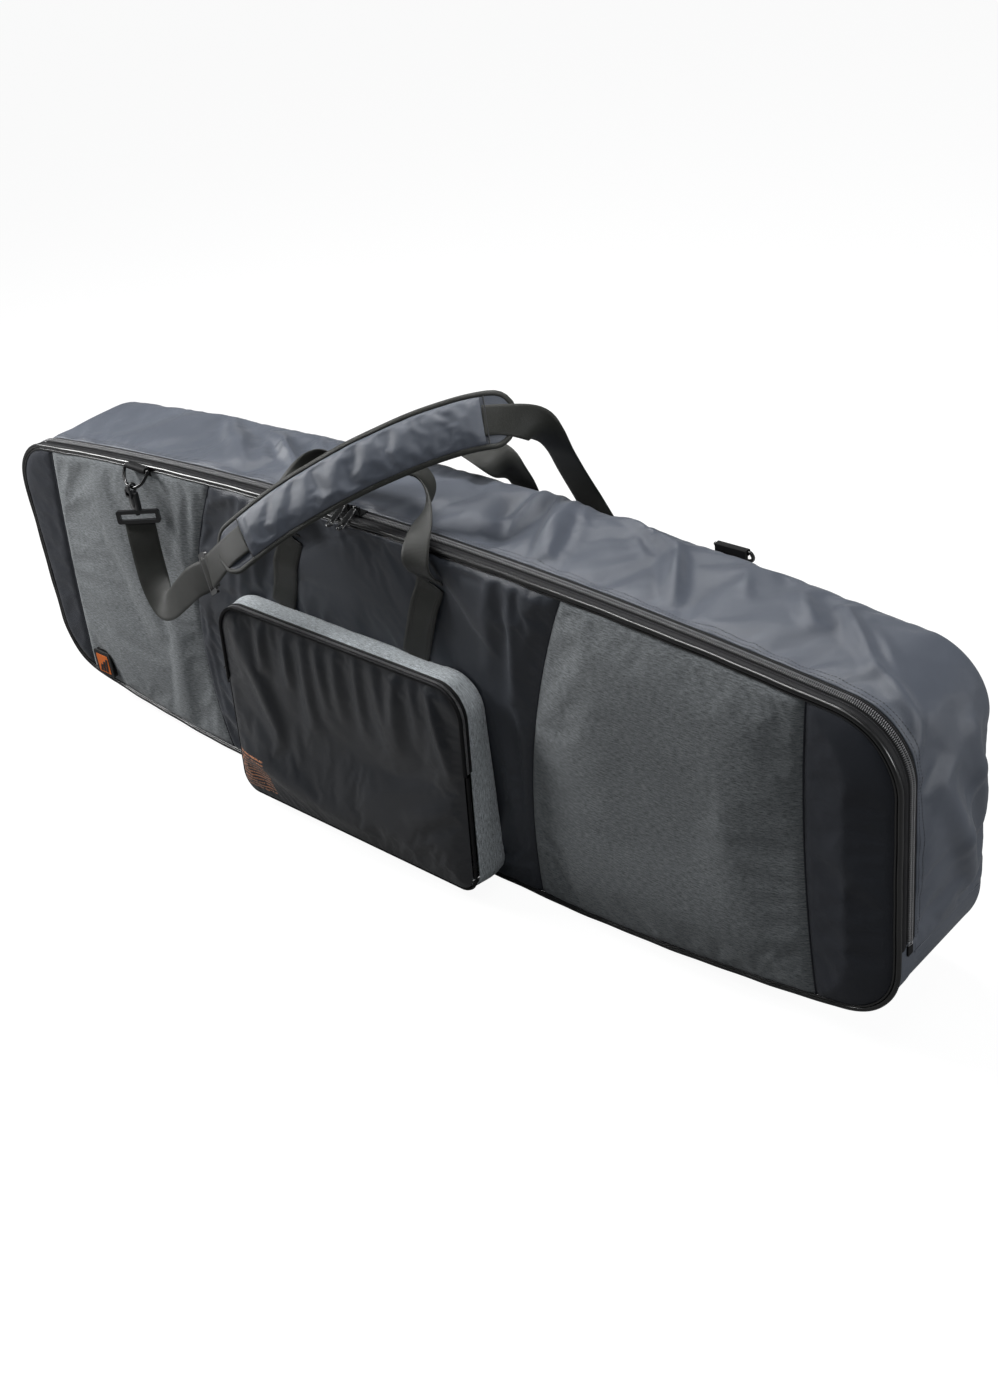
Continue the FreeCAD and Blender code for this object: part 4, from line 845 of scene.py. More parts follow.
def build_piping():
    """Glossy piping round the lid, its flange and the black boxing cloth behind it."""
    s = np.linspace(0, GIRTH, 1200, endpoint=False)
    xz, normal = rim_at(s, np.full(len(s), PIPING))
    xz[:, 1] = np.maximum(xz[:, 1], PIPING + 0.0006)
    wobble = 0.0004 * np.sin(s * 37) + 0.0003 * np.sin(s * 83 + 1)
    path = standing(xz, FRONT + PIPING + wobble)
    out = standing(normal, -0.4)
    cord = tube("piping_cord", path, 0.0034, PIPE, 12, normals=out, closed=True)
    add(cord, "lid", ["lid_piping"])
    inner = path + np.array([0.0, -0.0012, 0.0]) - standing(normal, 0.0) * 0.0050
    flange = tube("piping_flange", inner, 0.0017, PIPE, 8, normals=out, closed=True)
    add(flange, "lid")
    rows = [(FRONT + 0.0062, 0.0042), (FRONT + 0.0085, 0.0022), (FRONT + 0.0115, 0.0012),
            (FRONT + 0.0150, 0.0014), (FRONT + 0.0180, 0.0030), (FRONT + 0.0190, 0.0046)]
    strip, ss, _ = rim_strip("boxing_cloth", MIDDLE - REACH, MIDDLE + REACH, rows, STRIP)
    flat = np.stack([ss.ravel(), points_of(strip)[:, 1]], axis=-1)
    _, normal = rim_at(ss.ravel(), np.zeros(ss.size))
    pushed_out(strip, normal, 0.0007 * uneven(flat, 0.02, 5))
    modified(strip, "SOLIDIFY", thickness=0.0015, offset=-1)
    modified(strip, "SUBSURF", levels=1, render_levels=1)
    add(strip, "lid", ["lid_edge_strip"])


def build_zip():
    """Tapes with a raised guard beside the coil, and the two coils."""
    start, end = MIDDLE - REACH, MIDDLE + REACH
    for side, edge, way, body in (("lid", LID_EDGE, -1, "lid"), ("shell", SHELL_EDGE, 1, "shell")):
        rows = [(edge + way * d, inset) for d, inset in (
            (0.0002, 0.0048), (0.0020, 0.0046), (0.0050, 0.0046), (0.0062, 0.0034),
            (0.0075, 0.0034), (0.0100, 0.0044), (0.0135, 0.0048))]
        if way < 0:
            rows = rows[::-1]
        tape, _, _ = rim_strip("zip_tape_cloth_" + side, start, end, rows, TAPE, step=0.01)
        modified(tape, "SOLIDIFY", thickness=0.0008, offset=-1)
        add(tape, body, ["zip_tape_" + side])
        path, out = rim_line(start, end, edge + way * 0.0021, 0.0026)
        coil = repeated("zip_coil_" + side, TURN, path, out, 0.0026, COIL,
                        start=0.0 if way < 0 else 0.0013)
        add(coil, body, ["zip_chain_" + side])
        seam, out = rim_line(start, end, edge + way * 0.0085, 0.0032)
        stitches("zip_tape_stitches_" + side, seam, out, body, 0.0034, item=FINE_STITCH)


# ---------------------------------------------------------------------- shell cloth
GUSSET_END = REACH + 0.020
GUSSET_FOLDS = [
    ((0.183, 0.022), (0.175, 0.100), 0.006, 0.020),
    ((0.277, -0.046), (0.203, 0.094), 0.007, 0.013),
    ((0.286, -0.040), (0.226, 0.100), 0.005, 0.009),
    ((0.266, 0.045), (0.243, 0.100), 0.004, 0.007),
    ((0.289, 0.098), (0.354, 0.078), 0.005, 0.010),
    ((0.354, 0.078), (0.411, 0.056), 0.006, 0.011),
    ((0.411, 0.056), (0.471, -0.033), 0.006, 0.014),
    ((0.201, -0.038), (0.139, 0.056), -0.007, 0.022),
    ((0.590, 0.059), (0.640, 0.010), 0.004, 0.014),
    ((0.649, 0.064), (0.739, -0.020), 0.005, 0.010),
    ((0.739, -0.020), (0.837, -0.050), 0.004, 0.012),
    ((-0.474, 0.078), (-0.300, -0.040), 0.004, 0.016),
    ((-0.372, 0.073), (-0.215, -0.016), 0.005, 0.010),
    ((-0.340, 0.070), (-0.190, -0.030), 0.004, 0.008),
    ((-0.262, 0.076), (-0.142, -0.016), 0.005, 0.011),
    ((-0.230, 0.080), (-0.110, -0.020), 0.004, 0.010),
    ((0.900, -0.02), (1.080, 0.05), 0.007, 0.018),
    ((0.860, 0.040), (1.020, 0.085), 0.005, 0.015),
]


GUSSET_CREASES = [
    ((-0.455, 0.050), (-0.395, 0.010), 0.0030, 0.0060),
    ((-0.415, 0.060), (-0.345, 0.000), 0.0035, 0.0055),
    ((-0.350, 0.055), (-0.290, -0.010), 0.0040, 0.0055),
    ((-0.315, 0.065), (-0.262, 0.005), 0.0035, 0.0050),
    ((-0.250, 0.060), (-0.205, -0.005), 0.0040, 0.0060),
    ((-0.215, 0.070), (-0.165, 0.020), 0.0035, 0.0050),
    ((0.170, 0.060), (0.150, 0.000), 0.0035, 0.0060),
    ((0.232, 0.080), (0.262, -0.030), 0.0045, 0.0060),
    ((0.262, 0.070), (0.300, -0.010), 0.0035, 0.0050),
    ((0.330, 0.070), (0.380, 0.030), 0.0040, 0.0055),
    ((0.420, 0.050), (0.470, -0.020), 0.0040, 0.0065),
    ((0.505, 0.070), (0.540, 0.020), 0.0030, 0.0060),
    ((0.680, 0.060), (0.770, -0.010), 0.0035, 0.0060),
    ((0.920, 0.060), (1.020, 0.010), 0.0040, 0.0070),
]


def shell_cloth(name, start, end, rows, stands_for, crease=None):
    """One strip of slate cloth round the shell; crease adds to it before it is given its wall."""
    cloth, ss, _ = rim_strip(name, start, end, rows, SLATE, step=0.007)
    points = points_of(cloth)
    flat = np.stack([ss.ravel() - MIDDLE, points[:, 1]], axis=-1)
    _, normal = rim_at(ss.ravel(), np.zeros(ss.size))
    off_front = points[:, 1] - rows[0][0]
    off_back = (BACK - 0.004) - points[:, 1]
    if crease:
        crease(cloth, flat, normal, off_front, off_back)
    modified(cloth, "SOLIDIFY", thickness=0.003, offset=-1)
    modified(cloth, "SUBSURF", levels=1, render_levels=1)
    settled_mesh(cloth)
    add(cloth, "shell", [stands_for])
    return cloth


def gusset_creases(cloth, flat, normal, off_front, off_back):
    """Soft folds, a little slack between the seams, and the sharper creases on top of them."""
    free = np.clip(off_front / 0.016, 0, 1) * np.clip(off_back / 0.02, 0, 1)
    lift = 1.3 * folds_at(flat, GUSSET_FOLDS) + 0.0022 * uneven(flat, 0.045, 8)
    lift += 0.0025 * np.sin(np.clip(off_front / 0.17, 0, 1) * math.pi)
    low = points_of(cloth)[:, 2] < 0.02
    pushed_out(cloth, normal, np.where(low, np.minimum(lift, 0), lift) * free)
    held = np.maximum(np.clip(1 - off_front / 0.006, 0, 1), np.clip(1 - off_back / 0.006, 0, 1))
    ends = np.clip((np.abs(flat[:, 0]) - GUSSET_END + 0.012) / 0.01, 0, 1)
    relax(cloth, np.maximum(held, ends), 0.022, limit=0.009, bend=0.25)
    lift = 1.5 * folds_at(flat, GUSSET_CREASES) + 1.1 * folds_at(flat, GUSSET_FOLDS)
    pushed_out(cloth, normal, lift * free)


def build_gusset():
    """Slate cloth over the top and ends and under the base, with its seams."""
    round_back = [(BACK - 0.016, 0.0045), (BACK - 0.009, 0.0058), (BACK - 0.0042, 0.0092),
                  (BACK - 0.0012, 0.0145)]
    across = list(np.linspace(FOLD, BACK - 0.022, 22))[1:]
    top = [(FOLD, 0.0052), (FOLD + 0.0006, 0.0034)] + [(y, 0.0042) for y in across] + round_back
    base = ([(y, 0.0038) for y in np.linspace(FRONT + 0.0078, FOLD, 6)]
            + [(y, 0.0050) for y in across] + round_back)
    gusset = shell_cloth("gusset_cloth", MIDDLE - GUSSET_END, MIDDLE + GUSSET_END, top,
                         "gusset_wall", gusset_creases)
    shell_cloth("base_cloth", MIDDLE + REACH - 0.003, MIDDLE - REACH + 0.003 + GIRTH, base,
                "base_panel")
    skin = surface_of(gusset)
    for name, gap in (("near", 0.004), ("far", 0.0095)):
        path, out = rim_line(MIDDLE - REACH, MIDDLE + REACH, FOLD + gap, 0.0034)
        stitches("gusset_stitches_" + name, laid_on(skin, path, out, 0.0002), out, "shell", 0.0048)
    for side, s in (("left", MIDDLE - GUSSET_END), ("right", MIDDLE + GUSSET_END)):
        xz, normal = rim_at(np.full(60, s), np.full(60, 0.0040))
        path = standing(xz, np.linspace(FOLD, BACK - 0.020, 60))
        seam = tube("base_seam_" + side, path, 0.0012, SLATE, 6, normals=standing(normal, 0.0))
        add(seam, "shell")


def build_back():
    """Plain slate back panel with a cord in its seam."""
    xz, _ = rim_at(np.linspace(0, GIRTH, 700, endpoint=False), np.full(700, 0.0150))
    flat, faces, inward = filled(xz[::-1], 0.012)
    rise = 0.0035 * (1 - np.exp(-inward / 0.03)) + 0.0012 * uneven(flat, 0.07, 4) * np.clip(
        inward / 0.03, 0, 1)
    points = standing(flat, BACK - 0.0012 + rise)
    back = new_object("back_cloth", points, [f[::-1] for f in faces], flat, SLATE)
    modified(back, "SUBSURF", levels=1, render_levels=1)
    add(back, "shell", ["back_panel"])
    s = np.linspace(0, GIRTH, 900, endpoint=False)
    xz, normal = rim_at(s, np.full(len(s), 0.0148))
    cord = tube("back_seam_cord", standing(xz, BACK - 0.0006), 0.0016, SLATE, 8,
                normals=standing(normal, 1.0), closed=True)
    add(cord, "shell")


# --------------------------------------------------------------------------- pocket
def pocket_shape(inset):
    """Rounded edge of the pocket, counter-clockwise seen from the front."""
    left, right = POCKET["left"] + inset, POCKET["right"] - inset
    low, high = POCKET["low"] + inset, POCKET["high"] - inset
    top, foot = POCKET_TOP_ROUND - inset, POCKET_FOOT_ROUND - inset
    return np.concatenate([
        arc(right - foot, low + foot, foot, -ROUND, 0, 14),
        arc(right - top, high - top, top, 0, ROUND, 18),
        arc(left + top, high - top, top, ROUND, 2 * ROUND, 18),
        arc(left + foot, low + foot, foot, 2 * ROUND, 3 * ROUND, 14),
    ])


def pocket_y(z):
    """Plane of the pocket's zip at height z."""
    return FRONT - POCKET_RIM_DEPTH - (POCKET["high"] - z) * POCKET_SLOPE


def pocket_run(inset, above=None):
    """Points round the pocket, cut to what lies above or below the flap line."""
    path = resampled(pocket_shape(inset), 0.003, closed=True)
    if above is None:
        return path
    keep = path[:, 1] > FLAP_LINE if above else path[:, 1] <= FLAP_LINE
    start = next(i for i in range(len(path)) if keep[i] and not keep[i - 1])
    order = [(start + i) % len(path) for i in range(len(path))]
    return path[[i for i in order if keep[i]]]


def pocket_line(inset, above, forward):
    """A line round the pocket, forward of its zip plane, with outward directions."""
    run = pocket_run(inset, above)
    path = standing(run, pocket_y(run[:, 1]) - forward)
    middle = np.array([-0.0435, 0, 0.181])
    out = path - middle
    out[:, 1] = 0
    box = np.abs(out / np.array([0.2435, 1, 0.159]))
    out[:, 0] = np.where(box[:, 0] > box[:, 2], np.sign(out[:, 0]), out[:, 0] * 2)
    out[:, 2] = np.where(box[:, 2] >= box[:, 0], np.sign(out[:, 2]), out[:, 2] * 2)
    return path, out / np.linalg.norm(out, axis=1, keepdims=True)


def build_pocket():
    """Wedge pocket: heather band, gathered face, zip round the top above the flap line."""
    loop = resampled(pocket_shape(0.0), 0.006, closed=True)
    loop = np.concatenate([loop, loop[:1]])
    along = lengths_of(loop)
    shares = np.linspace(0, 1, 9)
    rows = []
    for share in shares:
        y = FRONT - 0.002 + (pocket_y(loop[:, 1]) + 0.0050 - FRONT + 0.002) * share
        bulge = 0.003 * math.sin(share * math.pi) + 0.0008 * np.sin(along * 41 + share * 5)
        grow = -bulge * min(1.0, 4 * share, 4 * (1 - share) + 0.2)
        tangent = np.gradient(loop, axis=0)
        tangent /= np.linalg.norm(tangent, axis=1, keepdims=True)
        out = np.stack([tangent[:, 1], -tangent[:, 0]], axis=-1)
        xz = loop - out * grow[:, None]
        rows.append(standing(xz, y))
    points = np.stack(rows, axis=1)
    uv = np.stack([np.repeat(along[:, None], 9, axis=1),
                   np.repeat(shares[None] * 0.055, len(loop), axis=0)], axis=-1)
    # painted light: the band uses the heather with its colours raised, standing in for the light on its
    # upward face
    band = grid_object("pocket_band", points, uv, HEATHER_PAINTED_LIT)
    modified(band, "SOLIDIFY", thickness=0.0025, offset=1)
    modified(band, "SUBSURF", levels=1, render_levels=1)
    settled_mesh(band)
    add(band, "lid", ["pocket_wall"])

    flat, faces, inward = filled(pocket_shape(0.0022), 0.0060)
    folds = []
    roll = np.random.default_rng(21)
    x = POCKET["left"] + 0.03
    while x < POCKET["right"] - 0.03:
        top = (x, POCKET["high"] - roll.uniform(0.010, 0.016))
        foot = (x + roll.uniform(0.0, 0.035), roll.uniform(0.14, 0.27))
        folds.append((top, foot, roll.uniform(0.0020, 0.0055), roll.uniform(0.009, 0.016)))
        x += roll.uniform(0.030, 0.064)
    folds += [
        ((-0.25, 0.10), (0.0, 0.060), 0.004, 0.02),
        ((-0.24, 0.30), (-0.17, 0.16), 0.004, 0.014),
        ((0.10, 0.12), (0.18, 0.16), 0.003, 0.015),
    ]
    sag = 0.012 * np.exp(-((flat[:, 1] - 0.085) / 0.07) ** 2)
    rise = 0.0045 + (0.004 + sag) * (1 - np.exp(-inward / 0.022))
    rise += 1.5 * folds_at(flat, folds) * np.clip(inward / 0.012, 0, 1)
    points = standing(flat, pocket_y(flat[:, 1]) - rise)
    face = new_object("pocket_face_cloth", points, faces, flat, COATED)
    relax(face, np.clip(1.0 - inward / 0.004, 0, 1), 0.010, push=0.1, limit=0.004, bend=0.6)
    modified(face, "SUBSURF", levels=1, render_levels=1)
    settled_mesh(face)
    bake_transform(face)
    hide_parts("pocket_lower_face", "pocket_flap")

    for name, above, forward, grow, radius, material, body, slot, nodes in (
        ("pocket_zip_wall_guard", True, -0.0048, 0.0008, 0.0030, STRIP, "lid", "zip_chain",
         ["pocket_zip_lid"]),
        ("pocket_zip_flap_guard", True, 0.0048, 0.0004, 0.0030, STRIP, "pocket_flap", "zip_chain",
         ["pocket_zip_flap"]),
        ("pocket_zip_bed", True, 0.0000, -0.0004, 0.0019, TAPE, "lid", "zip_chain", []),
        ("pocket_foot_seam", False, 0.0012, 0.0006, 0.0026, STRIP, "lid", "heather_fabric", []),
    ):
        path, out = pocket_line(-grow, above, forward)
        add(tube(name, path, radius, material, 8, normals=out), body, nodes)
    path, out = pocket_line(-0.0014, True, 0.0002)
    coil = repeated("pocket_coil", TURN, path, out, 0.0019, COIL)
    add(coil, "pocket_flap")
    skin = surface_of(band)
    for number, back in enumerate((0.0120, 0.0340)):
        path, out = pocket_line(-0.0026, None, -back)
        path = laid_on(skin, path, out, 0.0002, 0.012)
        stitches("pocket_stitches_%d" % number, path, out, "lid", 0.0042, item=FINE_STITCH,
                 material=THREAD_GREY)


# -------------------------------------------------------------------------- webbing
def smooth_rows(rows, step=0.004):
    """Catmull-Rom curve through rows of numbers, spaced along the first three."""
    rows = np.asarray(rows, float)
    padded = np.concatenate([[2 * rows[0] - rows[1]], rows, [2 * rows[-1] - rows[-2]]])
    found = []
    for i in range(1, len(padded) - 2):
        a, b, c, d = padded[i - 1:i + 3]
        count = max(2, int(np.linalg.norm((c - b)[:3]) / step))
        for t in np.linspace(0, 1, count, endpoint=False):
            found.append(0.5 * (2 * b + (c - a) * t + (2 * a - 5 * b + 4 * c - d) * t * t
                                + (3 * b - a - 3 * c + d) * t ** 3))
    found.append(rows[-1])
    return np.array(found)


def ribbon(name, rows, material, curl=0.0):
    """Flat webbing; rows hold the middle, the way its width runs, and its width."""
    rows = smooth_rows(rows)
    centre, across, width = rows[:, :3], rows[:, 3:6], rows[:, 6]
    along = np.gradient(centre, axis=0)
    along /= np.linalg.norm(along, axis=1, keepdims=True)
    side = across - along * np.sum(across * along, axis=1, keepdims=True)
    side /= np.linalg.norm(side, axis=1, keepdims=True)
    normal = np.cross(along, side)
    share = np.array([-1, -0.985, -0.8, -0.4, 0, 0.4, 0.8, 0.985, 1])
    high = np.array([0.2, 0.8, 1, 1, 1, 1, 1, 0.8, 0.2]) * WEB_THICK / 2
    u = np.concatenate([share, share[::-1]])
    v = np.concatenate([high, -high])
    bow = curl * (1 - u ** 2)
    points = (centre[:, None] + side[:, None] * (u * 0.5)[None, :, None] * width[:, None, None]
              + normal[:, None] * (v + bow)[None, :, None])
    run = lengths_of(centre)
    uv = np.stack([np.repeat(run[:, None], len(u), axis=1),
                   np.repeat((u * WEB / 2)[None], len(run), axis=0)], axis=-1)
    made = grid_object(name, points, uv, material, closed=True)
    mesh = bmesh.new()
    mesh.from_mesh(made.data)
    bmesh.ops.holes_fill(mesh, edges=[e for e in mesh.edges if e.is_boundary], sides=0)
    mesh.to_mesh(made.data)
    mesh.free()
    return made


def handle_rows(half_span, seam_y, rise, outward, lean, bow):
    """One loop of webbing: up from its left seam, over and down to the right one."""
    shares = [
        (1.00, 0.00, 0.00, 0.02), (1.00, 0.06, 0.00, 0.06), (0.99, 0.62, 0.00, 0.15),
        (0.97, 0.95, 0.02, 0.30), (0.94, 1.00, 0.14, 0.48), (0.88, 1.00, 0.38, 0.66),
        (0.76, 1.00, 0.68, 0.82), (0.56, 1.00, 0.91, 0.93), (0.29, 1.00, 0.98, 0.99),
        (0.00, 1.00, 1.00, 1.00),
    ]
    widths = [
        (1, 0, 0), (1, 0, 0), (1, 0, 0), (1, 0, 0), (1, 0, -0.15), (1, -0.1 * outward, -0.45),
        (0.8, -0.8 * outward, -0.6), (0.3, -outward, -0.3), (0.1, -outward, 0), (0, -outward, 0),
    ]
    left, right = [], []
    for (span, stand, back, up), way in zip(shares, widths):
        y = seam_y + outward * (stand * bow - back * lean)
        z = 0.466 + up * rise
        left.append((HANDLE_X - span * half_span, y, z, *way, WEB))
        mirror = (-way[0], way[1], way[2])
        right.append((HANDLE_X + span * half_span, y, z, *mirror, WEB))
    return left + right[:-1][::-1]


def box_stitches(name, corners, normal, body):
    """A sewn box with a cross in it, over four corners."""
    corners = [np.array(c, float) for c in corners]
    lines = [(corners[i], corners[(i + 1) % 4]) for i in range(4)]
    lines += [(corners[0], corners[2]), (corners[1], corners[3])]
    for number, (a, b) in enumerate(lines):
        path = a + (b - a) * np.linspace(0, 1, 30)[:, None]
        out = np.tile(np.array(normal, float), (30, 1))
        stitches("%s_%d" % (name, number), path, out, body, 0.0036, item=FINE_STITCH,
                 material=THREAD_DARK)


def front_anchor(side, sign):
    """Webbing laid on the lid under one leg of the front handle, leaning with it."""
    top, low, lean = ANCHOR_TOP, 0.3403, 0.045
    slope = lean / (top - low)
    x, half = HANDLE_X + sign * HANDLE_SPAN, WEB / 2 - 0.004
    rows = []
    for z in np.linspace(low, top, 9):
        middle = x - (top - z) * slope
        spots = np.array([(middle + shift, FRONT, z) for shift in (-0.02, -0.01, 0.0, 0.01, 0.02)])
        found = laid_on(FRONT_FACE, spots, np.tile([0.0, -1.0, 0.0], (5, 1)), 0.0)
        rows.append((middle, found[:, 1].min() - 0.0009, z, 1, 0, 0, WEB))
    anchor = add(ribbon("front_anchor_web_" + side, rows, WEBBING), "lid",
                 ["front_anchor_" + side])
    skin = surface_of(anchor)
    z = np.linspace(low + 0.004, top - 0.006, 60)
    out = np.tile([0.0, -1.0, 0.0], (60, 1))
    for number, shift in enumerate((-half, -half + 0.004, half - 0.004, half)):
        path = np.stack([x - (top - z) * slope + shift, np.full(60, FRONT), z], axis=-1)
        stitches("front_anchor_%s_stitch_%d" % (side, number), laid_on(skin, path, out, 0.0002),
                 out, "lid", 0.0040, item=FINE_STITCH, material=THREAD_DARK)


def rear_anchor(side, sign):
    """Upright webbing under one leg of the rear handle, boxed at its foot."""
    x, half = HANDLE_X + sign * REAR_SPAN, WEB / 2 - 0.004
    y = BACK + 0.0045
    foot = ANCHOR_TOP - 0.150
    rows = [(x, y, foot, 1, 0, 0, WEB), (x, y, (ANCHOR_TOP + foot) / 2, 1, 0, 0, WEB),
            (x, y - 0.001, ANCHOR_TOP, 1, 0, 0, WEB)]
    add(ribbon("rear_anchor_web_" + side, rows, WEBBING), "shell",
        ["rear_anchor_" + side])
    low, high = foot + 0.006, foot + 0.05
    box_stitches("rear_anchor_%s_box" % side, [
        (x - half, y + 0.001, low), (x + half, y + 0.001, low),
        (x + half, y + 0.001, high), (x - half, y + 0.001, high)], (0, 1, 0), "shell")


def build_handles():
    """Two carrying handles and the webbing sewn down under their legs."""
    seam = 0.0013
    front = handle_rows(HANDLE_SPAN, FRONT - seam, 0.116, -1, 0.095, 0.019)
    rear = handle_rows(REAR_SPAN, BACK + seam, 0.092, 1, 0.026, 0.013)
    for side, rows in (("front", front), ("rear", rear)):
        add(ribbon(side + "_handle_web", rows, WEBBING, 0.0012), side + "_handle",
            [side + "_handle"])
    for side, sign in (("left", -1), ("right", 1)):
        front_anchor(side, sign)
        rear_anchor(side, sign)


# -------------------------------------------------------------------- shoulder strap
LOOP_Z = 0.4152
FRONT_STRAP = [
    (-0.463, -0.134, 0.385, 0.82, 0.57, 0.00),
    (-0.453, -0.140, 0.350, 0.75, 0.60, 0.20),
    (-0.437, -0.148, 0.320, 0.45, 0.62, 0.62),
    (-0.413, -0.158, 0.306, 0.05, 0.52, 0.85),
    (-0.380, -0.166, 0.318, -0.30, 0.38, 0.85),
    (-0.338, -0.171, 0.350, -0.50, 0.25, 0.80),
    (-0.295, -0.176, 0.383, -0.52, 0.20, 0.80),
    (-0.2669, -0.1700, 0.3989, -0.50, 0.20, 0.82),
    (-0.2603, -0.1716, 0.4032, -0.50, 0.20, 0.82),
    (-0.2557, -0.1763, 0.4072, -0.50, 0.20, 0.82),
    (-0.2510, -0.1810, 0.4112, -0.50, 0.20, 0.82),
    (-0.2443, -0.1795, 0.4148, -0.50, 0.20, 0.82),
    (-0.2377, -0.1779, 0.4184, -0.50, 0.20, 0.82),
    (-0.2313, -0.1801, 0.4228, -0.50, 0.20, 0.82),
    (-0.212, -0.201, 0.435, -0.45, 0.25, 0.85),
    (-0.190, -0.210, 0.450, -0.38, 0.33, 0.84),
]
PAD = [
    (-0.168, -0.208, 0.469), (-0.156, -0.202, 0.480), (-0.138, -0.191, 0.496),
    (-0.108, -0.172, 0.521), (-0.076, -0.151, 0.545), (-0.044, -0.129, 0.566),
    (-0.013, -0.108, 0.585), (0.016, -0.086, 0.601), (0.045, -0.064, 0.615),
    (0.072, -0.041, 0.627), (0.098, -0.018, 0.636), (0.124, 0.004, 0.643),
    (0.146, 0.026, 0.645), (0.158, 0.040, 0.642), (0.167, 0.051, 0.638),
]
PAD_ACROSS = (-0.25, 0.45, 0.80)
PAD_HALF = 0.034
REAR_STRAP = [
    (0.184, 0.068, 0.631, 0.00, 0.10, 0.95),
    (0.194, 0.082, 0.613, 0.45, -0.10, 0.75),
    (0.199, 0.097, 0.583, 0.80, -0.10, 0.35),
    (0.200, 0.114, 0.548, 0.95, 0.05, 0.12),
    (0.206, 0.130, 0.510, 0.97, 0.05, 0.20),
    (0.228, 0.138, 0.465, 0.90, 0.00, 0.35),
    (0.262, 0.143, 0.415, 0.80, 0.00, 0.55),
    (0.305, 0.145, 0.377, 0.60, 0.00, 0.80),
    (0.350, 0.145, 0.357, 0.25, 0.00, 0.95),
    (0.395, 0.143, 0.357, -0.35, 0.00, 0.93),
    (0.430, 0.138, 0.372, -0.80, 0.00, 0.60),
    (0.452, 0.132, 0.396, -0.98, 0.00, 0.20),
]


def pad_frames():
    """Middle line of the pad with its along, across and outward directions."""
    rows = smooth_rows([(*p, *PAD_ACROSS) for p in PAD], 0.005)
    centre, across = rows[:, :3], rows[:, 3:]
    along = np.gradient(centre, axis=0)
    along /= np.linalg.norm(along, axis=1, keepdims=True)
    side = across - along * np.sum(across * along, axis=1, keepdims=True)
    side /= np.linalg.norm(side, axis=1, keepdims=True)
    return centre, side, np.cross(along, side), lengths_of(centre)


def pad_base(centre, side, normal, run, width):
    """Flat cloth base of the pad, with round ends."""
    u = np.linspace(-1, 1, 13)
    faces = []
    for thick, order in ((0.0016, u), (-0.0016, u[::-1])):
        faces.append(centre[:, None] + side[:, None] * (order[None, :, None] * width[:, None, None])
                     + normal[:, None] * thick)
    points = np.concatenate(faces, axis=1)
    uv = np.stack([np.repeat(run[:, None], 26, axis=1),
                   np.repeat(np.concatenate([u, u[::-1]])[None] * PAD_HALF, len(run), axis=0)],
                  axis=-1)
    add(grid_object("pad_base_cloth", points, uv, SLATE, closed=True), "lid")


def pad_binding(centre, side, normal, width):
    """Binding tape round both long edges and the ends of the pad."""
    edge = np.concatenate([centre + side * width[:, None], (centre - side * width[:, None])[::-1]])
    out = np.concatenate([normal, normal[::-1]])
    edge = np.concatenate([edge, edge[:1]])
    out = np.concatenate([out, out[:1]])
    fine = lengths_of(edge)
    s = np.linspace(0, fine[-1], 420)
    edge = np.stack([np.interp(s, fine, edge[:, k]) for k in range(3)], -1)[:-1]
    out = np.stack([np.interp(s, fine, out[:, k]) for k in range(3)], -1)[:-1]
    binding = tube("pad_binding", edge, 0.0042, BINDING, 10, normals=out, flat=0.62, closed=True)
    add(binding, "lid")


def pad_sleeve(centre, side, normal, run, first, last):
    """Padded sleeve sewn over the base between two places along it."""
    keep = (run > first) & (run < last)
    mid, sides, outs, here = centre[keep], side[keep], normal[keep], run[keep]
    u = np.linspace(-1, 1, 17)
    both = np.concatenate([u, u[::-1]])
    from_seam = np.minimum(here - first, last - here)
    fullness = np.clip(from_seam / 0.018, 0, 1) ** 0.5
    rows = []
    for way in (1, -1):
        order = u if way > 0 else u[::-1]
        puff = (1 - np.abs(order) ** 2.6) ** 0.7
        lift = 0.0022 + (0.0062 * fullness[:, None] + 0.001) * puff[None]
        rows.append(mid[:, None] + sides[:, None] * (order * (PAD_HALF - 0.0025))[None, :, None]
                    + outs[:, None] * (way * lift)[:, :, None])
    points = np.concatenate(rows, axis=1)
    flat = np.concatenate([u, u[::-1] + 2.2])
    uv = np.stack([np.repeat(here[:, None], 34, axis=1),
                   np.repeat(flat[None] * PAD_HALF, len(here), axis=0)], axis=-1)
    crease = uneven(uv.reshape(-1, 2), 0.012, 9).reshape(len(here), 34)
    sewn = np.tile(np.clip((1 - np.abs(both)) * 4, 0, 1), (len(here), 1))
    way = np.concatenate([np.ones(17), -np.ones(17)])
    points = points + outs[:, None] * (0.0009 * crease * sewn * way[None])[:, :, None]
    sleeve = grid_object("pad_sleeve", points, uv, SLATE, closed=True)
    held = np.clip(1.0 - sewn.ravel() * 1.5, 0, 1)
    held = np.maximum(held, np.repeat(np.clip(1 - from_seam / 0.006, 0, 1), 34))
    relax(sleeve, held, 0.022, push=0.4, limit=0.004, bend=0.2)
    modified(sleeve, "SUBSURF", levels=1, render_levels=1)
    add(sleeve, "lid", ["shoulder_pad"])


